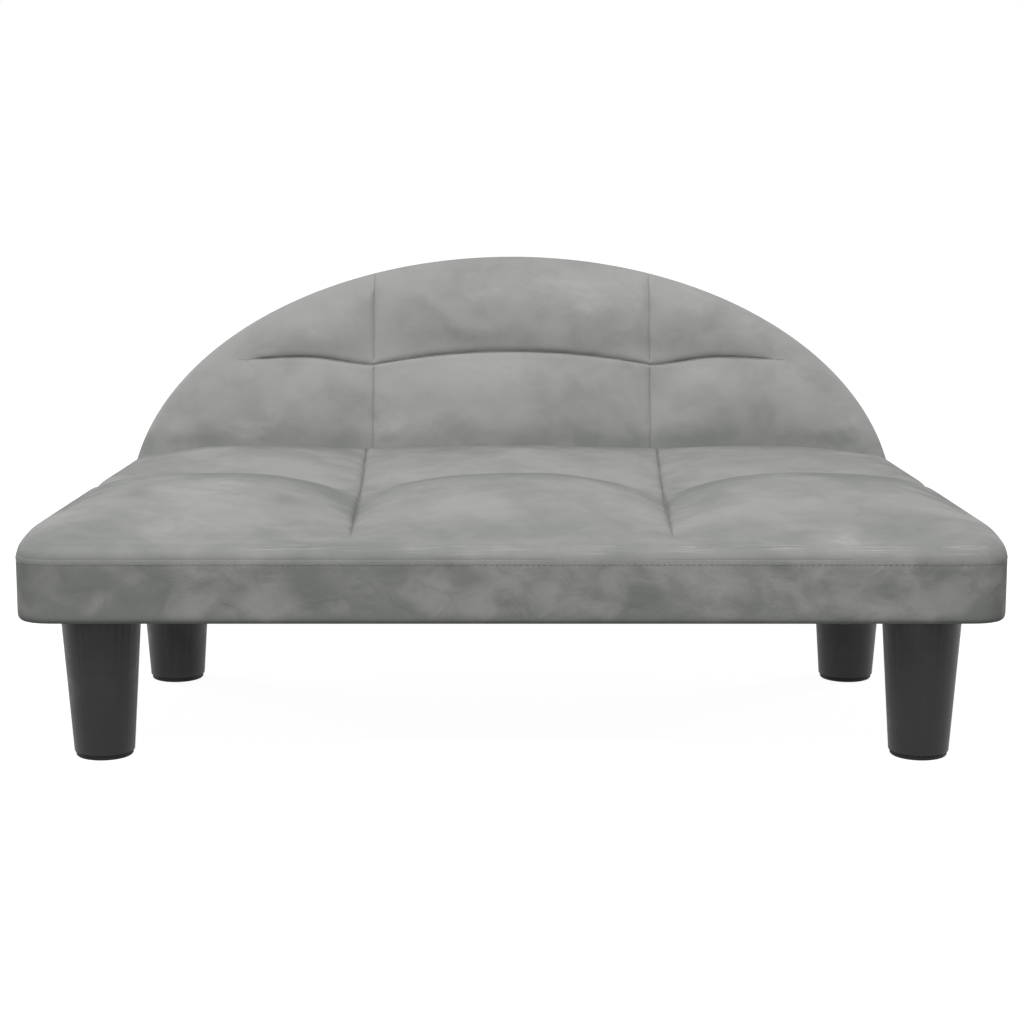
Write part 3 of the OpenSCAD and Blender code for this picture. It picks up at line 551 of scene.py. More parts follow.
        # Towards the ends the rows spread evenly over the little height that is left
        tall = ramp(top, b.skirt, b.cross_seam / 0.9)
        crease = np.minimum(self.crease, top * mix(0.24, 0.9 * self.crease / b.cross_seam, tall))
        crease = np.maximum(crease, mix(foot, top, 0.05))
        seam = np.minimum(self.seam_level(x), top * mix(0.6, 0.9, tall))
        up = np.choose(band.astype(int), [mix(foot, crease, q), mix(crease, seam, q), mix(seam, top, q)])
        depth = back - crowned * crown * self.hill(x, up, top)
        up = up + depth * self.tan * np.maximum(0.0, 1.0 - up / (2 * b.skirt))
        return self.place(x, up, depth)


def quilt(name, grid, rings, last=None):
    """A mesh of a grid of points, rings of points round its rim and, for a closed piece, a second grid."""
    ny, nx = grid.shape[0] - 1, grid.shape[1] - 1
    loop = rim_loop(nx, ny)
    rim = loop[:, 1] * (nx + 1) + loop[:, 0]
    cells = (nx + 1) * (ny + 1)
    at = np.arange(cells).reshape(ny + 1, nx + 1)
    quads = np.stack([at[:-1, :-1], at[:-1, 1:], at[1:, 1:], at[1:, :-1]], axis=-1).reshape(-1, 4)
    levels = [rim] + [cells + n * len(rim) + np.arange(len(rim)) for n in range(len(rings))]
    points, faces = [grid.reshape(-1, 3), *rings], [quads]
    if last is not None:
        low = cells + len(rings) * len(rim)
        levels.append(rim + low)
        points.append(last.reshape(-1, 3))
        faces.append(quads[:, ::-1] + low)
    for upper, lower in zip(levels, levels[1:]):
        faces.append(np.stack([upper, lower, np.roll(lower, -1), np.roll(upper, -1)], axis=-1))
    return mesh_of(name, np.concatenate(points), [], np.concatenate(faces).tolist())


def laid_out(form, pitch, rings, first, last=None, crown=1.0):
    """Points of a first grid, of rings round its rim and of a last grid, in the order that quilt() takes."""
    columns, rows = form.lattice(pitch)
    col, row = np.tile(columns, (len(rows), 1)), np.repeat(rows, len(columns), axis=0)
    shape = (len(rows), len(columns), 3)
    i, j = rim_loop(len(columns) - 1, len(rows) - 1).T
    grid = form.points(col, row, first, crown).reshape(shape)
    around = [form.points(columns[i], rows[j], ring, crown) for ring in rings]
    end = None if last is None else form.points(col, row, last, crown).reshape(shape)
    return grid, around, end


# Meshes

def mesh_of(name, points, edges=(), faces=()):
    mesh = bpy.data.meshes.new(name)
    mesh.from_pydata([tuple(p) for p in points], edges, faces)
    return mesh


def vectors(items, key):
    out = np.empty(len(items) * 3)
    items.foreach_get(key, out)
    return out.reshape(-1, 3)


def coordinates(mesh):
    return vectors(mesh.vertices, "co")


def normals(mesh):
    return vectors(mesh.vertex_normals, "vector")


def move_points(mesh, points):
    mesh.vertices.foreach_set("co", points.ravel())
    mesh.update()


def paint(mesh, name, values):
    """Gives each point a value that a node reads."""
    values = np.asarray(values, dtype=np.float32)
    mesh.attributes.new(name, "FLOAT", "POINT").data.foreach_set("value", values)


def new_object(name, data):
    piece = bpy.data.objects.new(name, data)
    bpy.context.scene.collection.objects.link(piece)
    return piece


def baked(piece):
    """Turns a piece's modifiers into plain mesh."""
    graph = bpy.context.evaluated_depsgraph_get()
    mesh = bpy.data.meshes.new_from_object(piece.evaluated_get(graph), preserve_all_data_layers=True, depsgraph=graph)
    old = piece.data
    piece.modifiers.clear()
    piece.data = mesh
    if old.users == 0:
        bpy.data.meshes.remove(old)
    return piece


def finished_cloth(piece, smoothed=False, thickness=0.0):
    """Smooths a cloth once, gives it a thickness, or both."""
    if smoothed:
        modifier = piece.modifiers.new("Smooth", "SUBSURF")
        modifier.levels = modifier.render_levels = 1
    if thickness:
        modifier = piece.modifiers.new("Thickness", "SOLIDIFY")
        modifier.thickness = thickness
        modifier.offset = -1.0
    baked(piece)


def shade(piece, material):
    piece.data.materials.clear()
    piece.data.materials.append(material)
    piece.data.shade_smooth()


def dress(piece, node, finish=None, body="bed"):
    """Says what a piece rides and the node that it stands for, and gives it its finish."""
    if finish:
        shade(piece, material(finish))
    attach(piece, body)
    if node:
        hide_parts(node)


def blow_up(mesh, cloth, held, limit):
    """Blows a cover up with a cloth simulation, sewn down where held is 1, and moves its points outward by it."""
    scene = bpy.context.scene
    pad = new_object("blown_up", mesh.copy())
    pins = pad.vertex_groups.new(name="sewn")
    for weight in np.unique(held[held > 0]):
        pins.add(np.flatnonzero(held == weight).tolist(), float(weight), "REPLACE")
    modifier = pad.modifiers.new("Cloth", "CLOTH")
    for key, value in {
        "quality": 6, "mass": 0.3, "tension_stiffness": 12, "compression_stiffness": 12, "shear_stiffness": 4,
        "bending_stiffness": 0.6, "vertex_group_mass": "sewn", "use_pressure": True,
        "uniform_pressure_force": cloth.pressure, "shrink_min": -cloth.fullness,
    }.items():
        setattr(modifier.settings, key, value)
    modifier.settings.effector_weights.gravity = 0
    modifier.collision_settings.use_collision = False
    modifier.point_cache.frame_start = 1
    modifier.point_cache.frame_end = cloth.frames
    for frame_number in range(1, cloth.frames + 1):
        scene.frame_set(frame_number)
    blown = pad.evaluated_get(bpy.context.evaluated_depsgraph_get()).to_mesh()
    start, out = coordinates(mesh), normals(mesh)
    move = coordinates(blown) - start
    scene.frame_set(1)
    bpy.data.objects.remove(pad)
    print("blown up by at most", round(float(np.abs(move).max()), 4), "m")
    move -= out * np.minimum(0.0, np.einsum("ij,ij->i", move, out))[:, None]
    length = np.linalg.norm(move, axis=1)
    keep = limit * np.tanh(length / np.maximum(limit, TINY)) / np.maximum(length, TINY)
    move_points(mesh, start + move * keep[:, None])


def fill_out(mesh, full, form, cloth, held, limit):
    """Blows a cover up from a low crown and brings its crest back to the full form's, nowhere below that form."""
    start = coordinates(mesh)
    gap, hold, _ = form.seams(full)
    blow_up(mesh, cloth, np.where((gap < HELD_GAP) & (hold > 0.3), 1.0, held), limit)
    move = coordinates(mesh) - start
    rise = np.linalg.norm(full - start, axis=1)
    gained = np.linalg.norm(move[rise > 0.98 * rise.max()], axis=1).mean()
    factor = min(1.0, 1.05 * rise.max() / gained) if gained > TINY else 0.0
    points = start + move * factor
    move_points(mesh, full)
    out = normals(mesh)
    short = np.einsum("ij,ij->i", full - points, out)
    move_points(mesh, points + out * np.maximum(0.0, short)[:, None])
    print("crown factor", round(float(factor), 3), "crest gain", round(float(gained), 4))


def brush_marks(points):
    """Where a hand has brushed the pile up (above 0) or down (below 0)."""
    out = np.zeros(len(points))
    for x, y, z, wide, deep, high, strength in BRUSHED:
        gap = ((1000 * points - (x, y, z)) / (wide, deep, high)) ** 2
        out += strength * np.exp(-gap.sum(axis=1))
    return out


def sew(piece, form, cloth, skin):
    """Smooths a cover once, presses its seams in, gathers the cloth beside them and gives it its thickness."""
    finished_cloth(piece, smoothed=True)
    mesh = piece.data
    points, facing = coordinates(mesh), normals(mesh)
    gap, hold, gather = form.seams(points)
    lip = LIP * hold * bell(gap - 0.0045, 0.002)
    panel = ramp(facing @ form.faces, 0.75, 0.95) * form.shown(points)
    lumps = np.array([LUMPS * noise.noise(p) + SMALL_LUMPS * noise.noise(3 * p) for p in map(Vector, points * 15)])
    out = lip + GATHERS * gather + lumps * panel * ramp(gap, 0.0, 0.03)
    out = out - cloth.seam_depth * hold * np.exp(-gap / cloth.seam_reach)
    low = points[:, 2] < form.s.underside + form.s.dust + form.s.hem
    move_points(mesh, points + facing * np.where(low, 0.0, out)[:, None])
    # Painted light and shade for the velvet's colour, from the way each point faces and where it lies
    painted_light, patches = form.painted_light(points, facing)
    paint(mesh, "brushed", brush_marks(points))
    paint(mesh, "top_edge", form.top_edge(points))
    paint(mesh, "painted_light_and_shade", painted_light)
    paint(mesh, "nap_patches", patches)
    # Distance to a seam, along which the velvet is darkened: compressed pile with painted shade in the groove
    paint(mesh, "seam_gap", np.where(hold > 0.05, gap / np.maximum(hold, 0.25), 0.05))
    finished_cloth(piece, thickness=skin)


def quilted_cover(name, node, form, forms, rings, first, low_crown, loose, give):
    """A cover that is blown up from a low crown and sewn.

    All its rings but the first loose ones are held, and the points of its panels may move by give.
    """
    grid, around, _ = laid_out(form, forms.c.grid, rings, first)
    low = laid_out(form, forms.c.grid, rings, first, crown=low_crown)
    full = np.concatenate([grid.reshape(-1, 3), *around])
    level = np.concatenate([np.zeros(grid.size // 3)] + [np.full(len(ring), n + 1) for n, ring in enumerate(around)])
    mesh = quilt(node.replace("cover", "quilt"), low[0], low[1])
    held = (level > loose) | form.fixed(full)
    fill_out(mesh, full, form, forms.c, held.astype(float), np.where(level > 0, RIM_GIVE, give))
    piece = new_object(name, mesh)
    sew(piece, form, forms.c, forms.s.skin)
    dress(piece, node, "crushed_velvet")


def cushion_foam(name, node, form, forms, rings, first, last):
    """Foam that is drawn in under the seams of its cover."""
    piece = new_object(name, quilt(node + "_form", *laid_out(form, FOAM_PITCH, rings, first, last)))
    points = coordinates(piece.data)
    gap, hold, _ = form.seams(points)
    press = (forms.c.seam_depth + ROOM) * hold * np.exp(-gap / (2.5 * forms.c.seam_reach))
    move_points(piece.data, points - normals(piece.data) * press[:, None])
    dress(piece, node, "cushion_foam")


# Materials

VALUE, VECTOR = "NodeSocketFloat", "NodeSocketVector"


def tint(value, factor=1.0, more=0.0):
    """A colour for a socket, made lighter or darker."""
    return (*(min(1.0, c * factor + more) for c in value), 1.0)


class Wiring:
    """Adds nodes to a tree and links them."""

    def __init__(self, tree):
        self.tree = tree

    def add(self, kind, settings=None, **inputs):
        node = self.tree.nodes.new(kind)
        for key, value in (settings or {}).items():
            setattr(node, key, value)
        self.link(node, **inputs)
        return node

    def link(self, node, **inputs):
        """Sets inputs, by name with _ for a space or by number as _0, to a node's output, a socket or a constant."""
        for key, value in inputs.items():
            key = key.replace("_", " ").strip()
            socket = node.inputs[int(key) if key.isdigit() else key]
            if isinstance(value, bpy.types.Node):
                value = value.outputs[0]
            if isinstance(value, bpy.types.NodeSocket):
                self.tree.links.new(value, socket)
            else:
                socket.default_value = value

    def math(self, operation, first, second=0.0, clamp=False):
        return self.add("ShaderNodeMath", {"operation": operation, "use_clamp": clamp}, _0=first, _1=second).outputs[0]

    def times(self, first, *others):
        for other in others:
            first = self.math("MULTIPLY", first, other)
        return first

    def plus(self, first, second):
        return self.math("ADD", first, second)

    def minus(self, first, second):
        return self.math("SUBTRACT", first, second)

    def over(self, first, second):
        return self.math("DIVIDE", first, second)

    def remap(self, value, low, high, to_low=0.0, to_high=1.0, kind="SMOOTHSTEP"):
        return self.add(
            "ShaderNodeMapRange", {"interpolation_type": kind},
            Value=value, From_Min=low, From_Max=high, To_Min=to_low, To_Max=to_high,
        ).outputs[0]

    def blend(self, factor, first, second):
        return self.add("ShaderNodeMix", {"data_type": "RGBA"}, _0=factor, _6=first, _7=second).outputs[2]

    def noise(self, vector, scale, **more):
        return self.add("ShaderNodeTexNoise", Vector=vector, Scale=scale, **more).outputs[0]

    def drawn_out(self, vector, stretch):
        """A vector for a pattern that is drawn out along X."""
        lie = self.add("ShaderNodeCombineXYZ", X=self.over(1.0, stretch), Y=1.0, Z=1.0)
        return self.add("ShaderNodeVectorMath", {"operation": "MULTIPLY"}, _0=vector, _1=lie)


def group(name, inputs, *outputs):
    """Wiring, inputs and output node of a new shader node group that takes a vector and the given values."""
    tree = bpy.data.node_groups.new(name, "ShaderNodeTree")
    tree.interface.new_socket(name="Vector", in_out="INPUT", socket_type=VECTOR)
    for label, default in inputs.items():
        tree.interface.new_socket(name=label, in_out="INPUT", socket_type=VALUE).default_value = default
    for label in outputs:
        tree.interface.new_socket(name=label, in_out="OUTPUT", socket_type=VALUE)
    return Wiring(tree), tree.nodes.new("NodeGroupInput").outputs, tree.nodes.new("NodeGroupOutput")


def patches_group():
    """Soft cloudy patches, as a brushed surface shows."""
    w, given, result = group("Soft patches", {"Size": 0.05, "Detail": 3.0, "Spread": 0.14}, "Mask")
    cloud = w.noise(given["Vector"], w.over(1.0, given["Size"]), Detail=given["Detail"], Distortion=0.6)
    w.link(result, Mask=w.remap(cloud, w.minus(0.5, given["Spread"]), w.plus(0.5, given["Spread"])))


def fibres_group():
    """Height of fine fibres that lie along X."""
    w, given, result = group("Fibres", {"Pitch": 0.0006, "Stretch": 6.0}, "Height")
    lie = w.drawn_out(given["Vector"], given["Stretch"])
    w.link(result, Height=w.noise(lie, w.over(1.0, given["Pitch"]), Detail=2.0, Roughness=0.6))


def weave_group():
    """Plain weave of two threads, on X and Y of the given vector."""
    w, given, result = group("Plain weave", {"Pitch": 0.0009}, "Height", "Warp")
    place = w.add("ShaderNodeSeparateXYZ", Vector=given["Vector"]).outputs
    rate = w.over(math.pi, given["Pitch"])
    ways = [w.times(place[n], rate) for n in (0, 1)]
    warp = w.remap(w.times(*(w.math("SINE", way) for way in ways)), -0.25, 0.25)
    first, second = (w.math("ABSOLUTE", w.math("COSINE", way)) for way in ways)
    height = w.add("ShaderNodeMix", {"data_type": "FLOAT"}, _0=warp, _2=first, _3=second)
    w.link(result, Height=height, Warp=warp)


def grain_group():
    """Growth rings and pores of sawn wood along the given vector's X."""
    w, given, result = group("Wood grain", {"Ring": 0.006, "Length": 14.0}, "Tone", "Pores")
    count = w.over(1.0, given["Ring"])
    lie = w.drawn_out(given["Vector"], given["Length"])
    rings = w.math("FRACT", w.times(w.noise(lie, w.times(count, 0.35), Detail=3.0), 9.0))
    w.link(result, Tone=rings, Pores=w.noise(lie, w.times(count, 6.0), Detail=2.0))


def marks_group():
    """Light wear: fine scratches and rubbed spots."""
    w, given, result = group("Wear marks", {"Size": 0.02}, "Scratches", "Rubbed")
    count = w.over(1.0, given["Size"])
    turned = w.add("ShaderNodeMapping", Vector=given["Vector"], Rotation=(0.5, 0.7, 0.3), Scale=(1.0, 1.0, 14.0))
    scratches = w.remap(w.noise(turned, w.times(count, 2.0), Detail=4.0), 0.62, 0.72)
    rubbed = w.remap(w.noise(given["Vector"], count, Detail=5.0, Roughness=0.65), 0.46, 0.7)
    w.link(result, Scratches=scratches, Rubbed=rubbed)


class Finish(Wiring):
    """A new material with its Principled shader, and the patterns, coats and bumps that finishes share."""

    def __init__(self, name, **constants):
        self.material = bpy.data.materials.new(name)
        self.material.use_nodes = True
        super().__init__(self.material.node_tree)
        self.tree.nodes.clear()
        self.shader = self.add("ShaderNodeBsdfPrincipled", **constants)
        self.add("ShaderNodeOutputMaterial", Surface=self.shader)
        self.place = self.add("ShaderNodeTexCoord").outputs["Object"]

    def pattern(self, name, vector, **inputs):
        settings = {"node_tree": bpy.data.node_groups[name]}
        return self.add("ShaderNodeGroup", settings, Vector=vector, **inputs).outputs

    def patches(self, vector, size, detail=3.0, spread=0.2):
        return self.pattern("Soft patches", vector, Size=size, Detail=detail, Spread=spread)["Mask"]

    def fibres(self, vector, pitch, stretch):
        return self.pattern("Fibres", vector, Pitch=pitch, Stretch=stretch)["Height"]

    def moved(self, move=(0.0, 0.0, 0.0), rotation=(0.0, 0.0, 0.0), scale=(1.0, 1.0, 1.0)):
        return self.add("ShaderNodeMapping", Vector=self.place, Location=move, Rotation=rotation, Scale=scale)

    def coats(self, base, *coats):
        """Sets the colour: a base with coats over it, each a share and a colour."""
        for factor, coat in coats:
            base = self.blend(factor, base, coat)
        self.link(self.shader, Base_Color=base)

    def rough(self, roughness):
        self.link(self.shader, Roughness=roughness)

    def bump(self, height, distance, strength, **below):
        """Sets the normal to a bump, over the one below if that is given."""
        node = self.add("ShaderNodeBump", Height=height, Distance=distance, Strength=strength, **below)
        self.link(self.shader, Normal=node)
        return node


def velvet(c):
    """Short crushed pile: cloudy patches with painted light and shade from the way the cloth faces, soft brushed
    spots, fine thread lines along the stretched edge with a painted highlight, and seams darkened by compressed pile
    and painted shade in their grooves.
    """
    f = Finish("crushed_velvet", Specular_IOR_Level=0.12)
    brushed, edge, painted_light, patches, seam = (
        f.add("ShaderNodeAttribute", {"attribute_name": name}).outputs["Fac"]
        for name in ("brushed", "top_edge", "painted_light_and_shade", "nap_patches", "seam_gap")
    )
    wide = f.patches(f.moved(scale=(0.8, 1.0, 1.0)), 0.055, 2.5, 0.17)
    near = f.patches(f.moved((3.1, 1.7, 0.4), scale=(0.8, 1.0, 1.0)), 0.019, 3.0, 0.22)
    uneven = f.times(f.minus(f.plus(f.times(wide, 0.58), f.times(near, 0.42)), 0.5), patches)
    laid = f.times(f.math("MINIMUM", brushed, 0.0), -0.5)
    # Random cloudy patches and brushed-down marks, less the painted light and shade; the higher, the darker the velvet
    nap_and_painted_light = f.minus(f.plus(f.plus(uneven, 0.5), laid), painted_light)
    flecks = f.noise(f.moved((7.3, 2.2, 5.1), (0.3, 0.5, 0.6), (0.7, 1.0, 1.2)), 150.0, Detail=3.0)
    spots = f.remap(f.noise(f.moved((1.9, 4.2, 8.8)), 13.0), 0.50, 0.70, 0.0, 0.5)
    raised = f.plus(f.math("MAXIMUM", brushed, 0.0), spots)
    marks = f.math("MULTIPLY", raised, f.remap(flecks, 0.34, 0.68, 0.45, 1.0), clamp=True)
    lines, pile = f.fibres(f.place, 0.0011, 40.0), f.fibres(f.place, 0.00045, 1.6)
    clusters = f.remap(f.noise(f.moved((5.2, 0.7, 3.3)), 9.0), 0.42, 0.62)
    f.coats(
        tint(c.velvet),
        # The darker pile of the random patches, with the painted shade
        (f.remap(nap_and_painted_light, 0.05, 1.25), tint(c.velvet_dark)),
        (f.times(marks, 0.50), tint(c.velvet_light)),
        # Lighter thread lines on the stretched top edge, with a painted highlight
        (f.times(f.remap(lines, 0.50, 0.70), edge, clusters, 0.70), tint(c.velvet_light, 1.15)),
        (f.remap(pile, 0.3, 0.7, 0.10, 0.0), (0.16, 0.165, 0.158, 1.0)),
        # Darker along the seams: compressed pile with painted shade in the groove
        (f.remap(seam, 0.0003, 0.0014, 0.34, 0.0), (0.10, 0.105, 0.10, 1.0)),
    )
    f.rough(f.remap(nap_and_painted_light, 0.0, 1.0, 0.80, 0.94))
    lean = f.bump(f.plus(nap_and_painted_light, f.times(marks, 0.6)), 0.0010, 0.4)
    f.bump(f.plus(f.times(pile, 0.6), f.times(lines, edge, 0.6)), 0.00035, 0.6, Normal=lean)


def woven(name, value, pitch, rotation):
    """Plain woven cloth."""
    f = Finish(name, Specular_IOR_Level=0.2)
    vector = f.moved(rotation=rotation)
    cloth = f.pattern("Plain weave", vector, Pitch=pitch)
    slubs = f.fibres(vector, 1.4 * pitch, 30.0)
    f.coats(
        tint(value),
        (f.remap(cloth["Height"], 0.0, 0.8, 0.75, 0.0), tint(value, 0.62)),
        (f.times(f.remap(slubs, 0.45, 0.75), 0.5), tint(value, 1.22)),
        (f.times(f.patches(vector, 0.06), 0.2), tint(value, 0.62)),
    )
    f.rough(f.remap(cloth["Warp"], 0.0, 1.0, 0.85, 0.75))
    f.bump(f.plus(cloth["Height"], f.times(slubs, 0.4)), 0.0003, 0.8)


def spunbond(c):
    """Non-woven cloth with its pattern of pressed dots."""
    f = Finish("dust_cloth", Specular_IOR_Level=0.3)
    turned = f.moved(rotation=(0, 0, 0.785))
    dots = f.add("ShaderNodeTexVoronoi", {"voronoi_dimensions": "2D"}, Vector=turned, Scale=560.0, Randomness=0.0)
    pressed = f.remap(dots, 0.18, 0.34)
    fuzz = f.fibres(f.moved(rotation=(0, 0, 0.5)), 0.0007, 9.0)
    cloudy = f.patches(f.place, 0.03, 4.0, 0.22)
    f.coats(tint(c.dust), (f.times(fuzz, 0.7), tint(c.dust, 2.4)), (f.times(cloudy, 0.3), tint(c.dust, 0.5)))
    f.rough(f.remap(pressed, 0.0, 1.0, 0.5, 0.8))
    f.bump(f.plus(pressed, f.times(fuzz, 0.5)), 0.0002, 0.7)


def open_foam(c):
    """Cut polyurethane foam with open cells."""
    f = Finish("cushion_foam", Specular_IOR_Level=0.15)
    small, large = (f.add("ShaderNodeTexVoronoi", Vector=f.place, Scale=scale) for scale in (700.0, 230.0))
    pits = f.times(f.remap(small, 0.0, 0.5), f.remap(large, 0.05, 0.3))
    aged = f.times(f.patches(f.place, 0.09), 0.3)
    f.coats(tint(c.foam, 0.66), (pits, tint(c.foam)), (aged, (0.72, 0.56, 0.30, 1.0)))
    f.rough(f.remap(pits, 0.0, 1.0, 0.98, 0.85))
    f.bump(pits, 0.0006, 0.7)


def wood(name, value, ring, turn=0.0):
    """Sawn softwood or the face of a board, its grain turned in plan."""
    f = Finish(name, Specular_IOR_Level=0.3)
    grain = f.pattern("Wood grain", f.moved(rotation=(0.0, 0.0, turn)), Ring=ring, Length=16.0)
    late = (value[0] * 0.62, value[1] * 0.50, value[2] * 0.42, 1.0)
    f.coats(
        tint(value),
        (f.math("POWER", grain["Tone"], 2.2), late),
        (f.remap(grain["Pores"], 0.5, 0.75, 0.0, 0.45), late),
        (f.times(f.patches(f.place, 0.06), 0.2), tint(value, 1.25)),
    )
    f.rough(f.remap(grain["Tone"], 0.0, 1.0, 0.62, 0.78))
    f.bump(f.plus(grain["Tone"], grain["Pores"]), 0.0003, 0.6)


def plastic(name, value, roughness, grain):
    """Moulded plastic with a fine spark-eroded grain."""
    f = Finish(name, Specular_IOR_Level=0.4)
    fine = f.noise(f.place, 1.0 / grain, Detail=3.0)
    wear = f.pattern("Wear marks", f.place, Size=0.03)
    f.coats(
        tint(value),
        (f.times(f.patches(f.moved(scale=(1.0, 1.0, 0.4)), 0.05), 0.25), tint(value, 1.5)),
        (f.times(wear["Scratches"], 0.07), tint(value, 3.5, 0.02)),
        (f.remap(fine, 0.35, 0.65, 0.0, 0.2), tint(value, 1.8)),
    )
    f.rough(f.plus(f.remap(wear["Rubbed"], 0.0, 1.0, roughness, roughness - 0.12), f.times(fine, 0.08)))
    f.bump(fine, 0.00012, 0.55)


def zinc_plate(c):
    """Zinc-plated steel, slightly clouded."""
    f = Finish("zinc_plate", Metallic=1.0)
    wear = f.pattern("Wear marks", f.place, Size=0.008)
    cloudy = f.patches(f.place, 0.004, 4.0)
    scratches = f.times(wear["Scratches"], 0.5)
    f.coats(tint(c.zinc), (f.times(cloudy, 0.4), tint(c.zinc, 0.72)), (scratches, (0.75, 0.75, 0.73, 1.0)))
    f.rough(f.remap(cloudy, 0.0, 1.0, 0.28, 0.46))
    f.bump(wear["Rubbed"], 0.00005, 0.4)


def thread_finish(c):
    """Twisted sewing thread."""
    f = Finish("thread", Specular_IOR_Level=0.4)
    twist = f.fibres(f.moved(rotation=(0.4, 0.6, 0.8)), 0.0003, 4.0)
    f.coats(tint(c.thread, 0.7), (f.remap(twist, 0.3, 0.7), tint(c.thread)))
    f.rough(f.remap(twist, 0.3, 0.7, 0.7, 0.5))
    f.bump(twist, 0.0001, 0.6)


def material(name):
    """A finish by name, made with all the others the first time that one is asked for."""
    if name not in bpy.data.materials:
        c = bpy.context.scene.bed_colours
        for make_group in (patches_group, fibres_group, weave_group, grain_group, marks_group):
            make_group()
        for make_finish in (velvet, spunbond, open_foam, zinc_plate, thread_finish):
            make_finish(c)
        woven("rear_cloth", c.rear, 0.0011, (math.radians(-70), 0.0, 0.0))
        wood("pine_across", c.pine, 0.0055)
        wood("pine_deep", c.pine, 0.0055, math.pi / 2)
        wood("board_face", c.board, 0.011, 0.1)
        plastic("leg_shell", c.leg, 0.5, 0.0007)
        plastic("pad_rubber", c.pad, 0.72, 0.0011)
    return bpy.data.materials[name]


# Geometry Nodes

class Geometry(Wiring):
    """A geometry node tree that takes a mesh, the given values and a material."""

    def __init__(self, name, *inputs):
        super().__init__(bpy.data.node_groups.new(name, "GeometryNodeTree"))
        kinds = {"Geometry": "NodeSocketGeometry", **dict.fromkeys(inputs, VALUE), "Material": "NodeSocketMaterial"}
        face = self.tree.interface
        self.ids = {
            label: face.new_socket(name=label, in_out="INPUT", socket_type=kind).identifier
            for label, kind in kinds.items()
        }
        face.new_socket(name="Geometry", in_out="OUTPUT", socket_type="NodeSocketGeometry")
        self.given = self.add("NodeGroupInput").outputs

    def make(self, name, mesh, instances, **values):
        """A plain mesh object of the instances, made real with their material, on a mesh of paths or points."""
        real = self.add("GeometryNodeRealizeInstances", Geometry=instances)
        smooth_faces = self.add("GeometryNodeSetShadeSmooth", Geometry=real)
        painted = self.add("GeometryNodeSetMaterial", Geometry=smooth_faces, Material=self.given["Material"])
        self.add("NodeGroupOutput", Geometry=painted)
        piece = new_object(name, mesh)
        modifier = piece.modifiers.new("Nodes", "NODES")
        modifier.node_group = self.tree
        for key, value in values.items():
            modifier[self.ids[key.replace("_", " ")]] = value
        return baked(piece)


def stitch_lines(name, lines, cloth):
    """Stitches that follow lines of points."""
    points, edges = [], []
    for line in lines:
        edges += [(len(points) + n, len(points) + n + 1) for n in range(len(line) - 1)]
        points += line
    g = Geometry("Stitches", "Pitch", "Length", "Thread radius")
    paths = g.add("GeometryNodeMeshToCurve", Mesh=g.given["Geometry"])
    spots = g.add("GeometryNodeResampleCurve", {"mode": "LENGTH"}, Curve=paths, Length=g.given["Pitch"])
    stitch = g.add("GeometryNodeMeshUVSphere", Segments=8, Rings=6, Radius=1.0)
    tangent = g.add("GeometryNodeInputTangent")
    turn = g.add("FunctionNodeAlignRotationToVector", {"axis": "Z"}, Vector=tangent)
    thick = g.given["Thread radius"]
    scale = g.add("ShaderNodeCombineXYZ", X=thick, Y=thick, Z=g.over(g.given["Length"], 2.0))
    placed = g.add("GeometryNodeInstanceOnPoints", Points=spots, Instance=stitch, Rotation=turn, Scale=scale)
    return g.make(
        name, mesh_of(name, points, edges), placed, Pitch=cloth.stitch_pitch, Length=cloth.stitch,
        Thread_radius=cloth.thread, Material=material("thread"),
    )


def staples(name, mesh, **values):
    """Staple crowns with bent shoulders, one at each point, turned by the point's own angle."""
    g = Geometry("Staples", "Width", "Leg", "Wire radius")
    half = g.over(g.given["Width"], 2.0)
    left, left_foot, right, right_foot = (
        g.add("ShaderNodeCombineXYZ", X=x, Z=z) for x in (g.times(half, -1.0), half) for z in (0.0, g.given["Leg"])
    )
    wire = g.add("GeometryNodeJoinGeometry")
    for start, end in ((left, right), (left, left_foot), (right, right_foot)):
        g.link(wire, Geometry=g.add("GeometryNodeCurvePrimitiveLine", Start=start, End=end))
    ring = g.add("GeometryNodeCurvePrimitiveCircle", {"mode": "RADIUS"}, Resolution=8, Radius=g.given["Wire radius"])
    solid = g.add("GeometryNodeCurveToMesh", Curve=wire, Profile_Curve=ring, Fill_Caps=True)
    turn = g.add("GeometryNodeInputNamedAttribute", {"data_type": "FLOAT"}, Name="turn")
    spin = g.add("ShaderNodeCombineXYZ", Z=turn)
    spots = g.given["Geometry"]
    placed = g.add("GeometryNodeInstanceOnPoints", Points=spots, Instance=solid, Rotation=spin)
    return g.make(name, mesh, placed, **values)


# Operators, one for each piece or group of like pieces

class Forms:
    """The forms and settings that the operators share."""

    def __init__(self, scene):
        self.scene = scene
        self.s, self.b, self.c = scene.bed_seat, scene.bed_back, scene.bed_cloth
        self.seat, self.back = SeatForm(self.s, self.b), BackForm(self.s, self.b)


class Step:
    """Runs an operator's build() with the forms and settings."""

    def execute(self, context):
        self.build(Forms(context.scene))
        return {"FINISHED"}


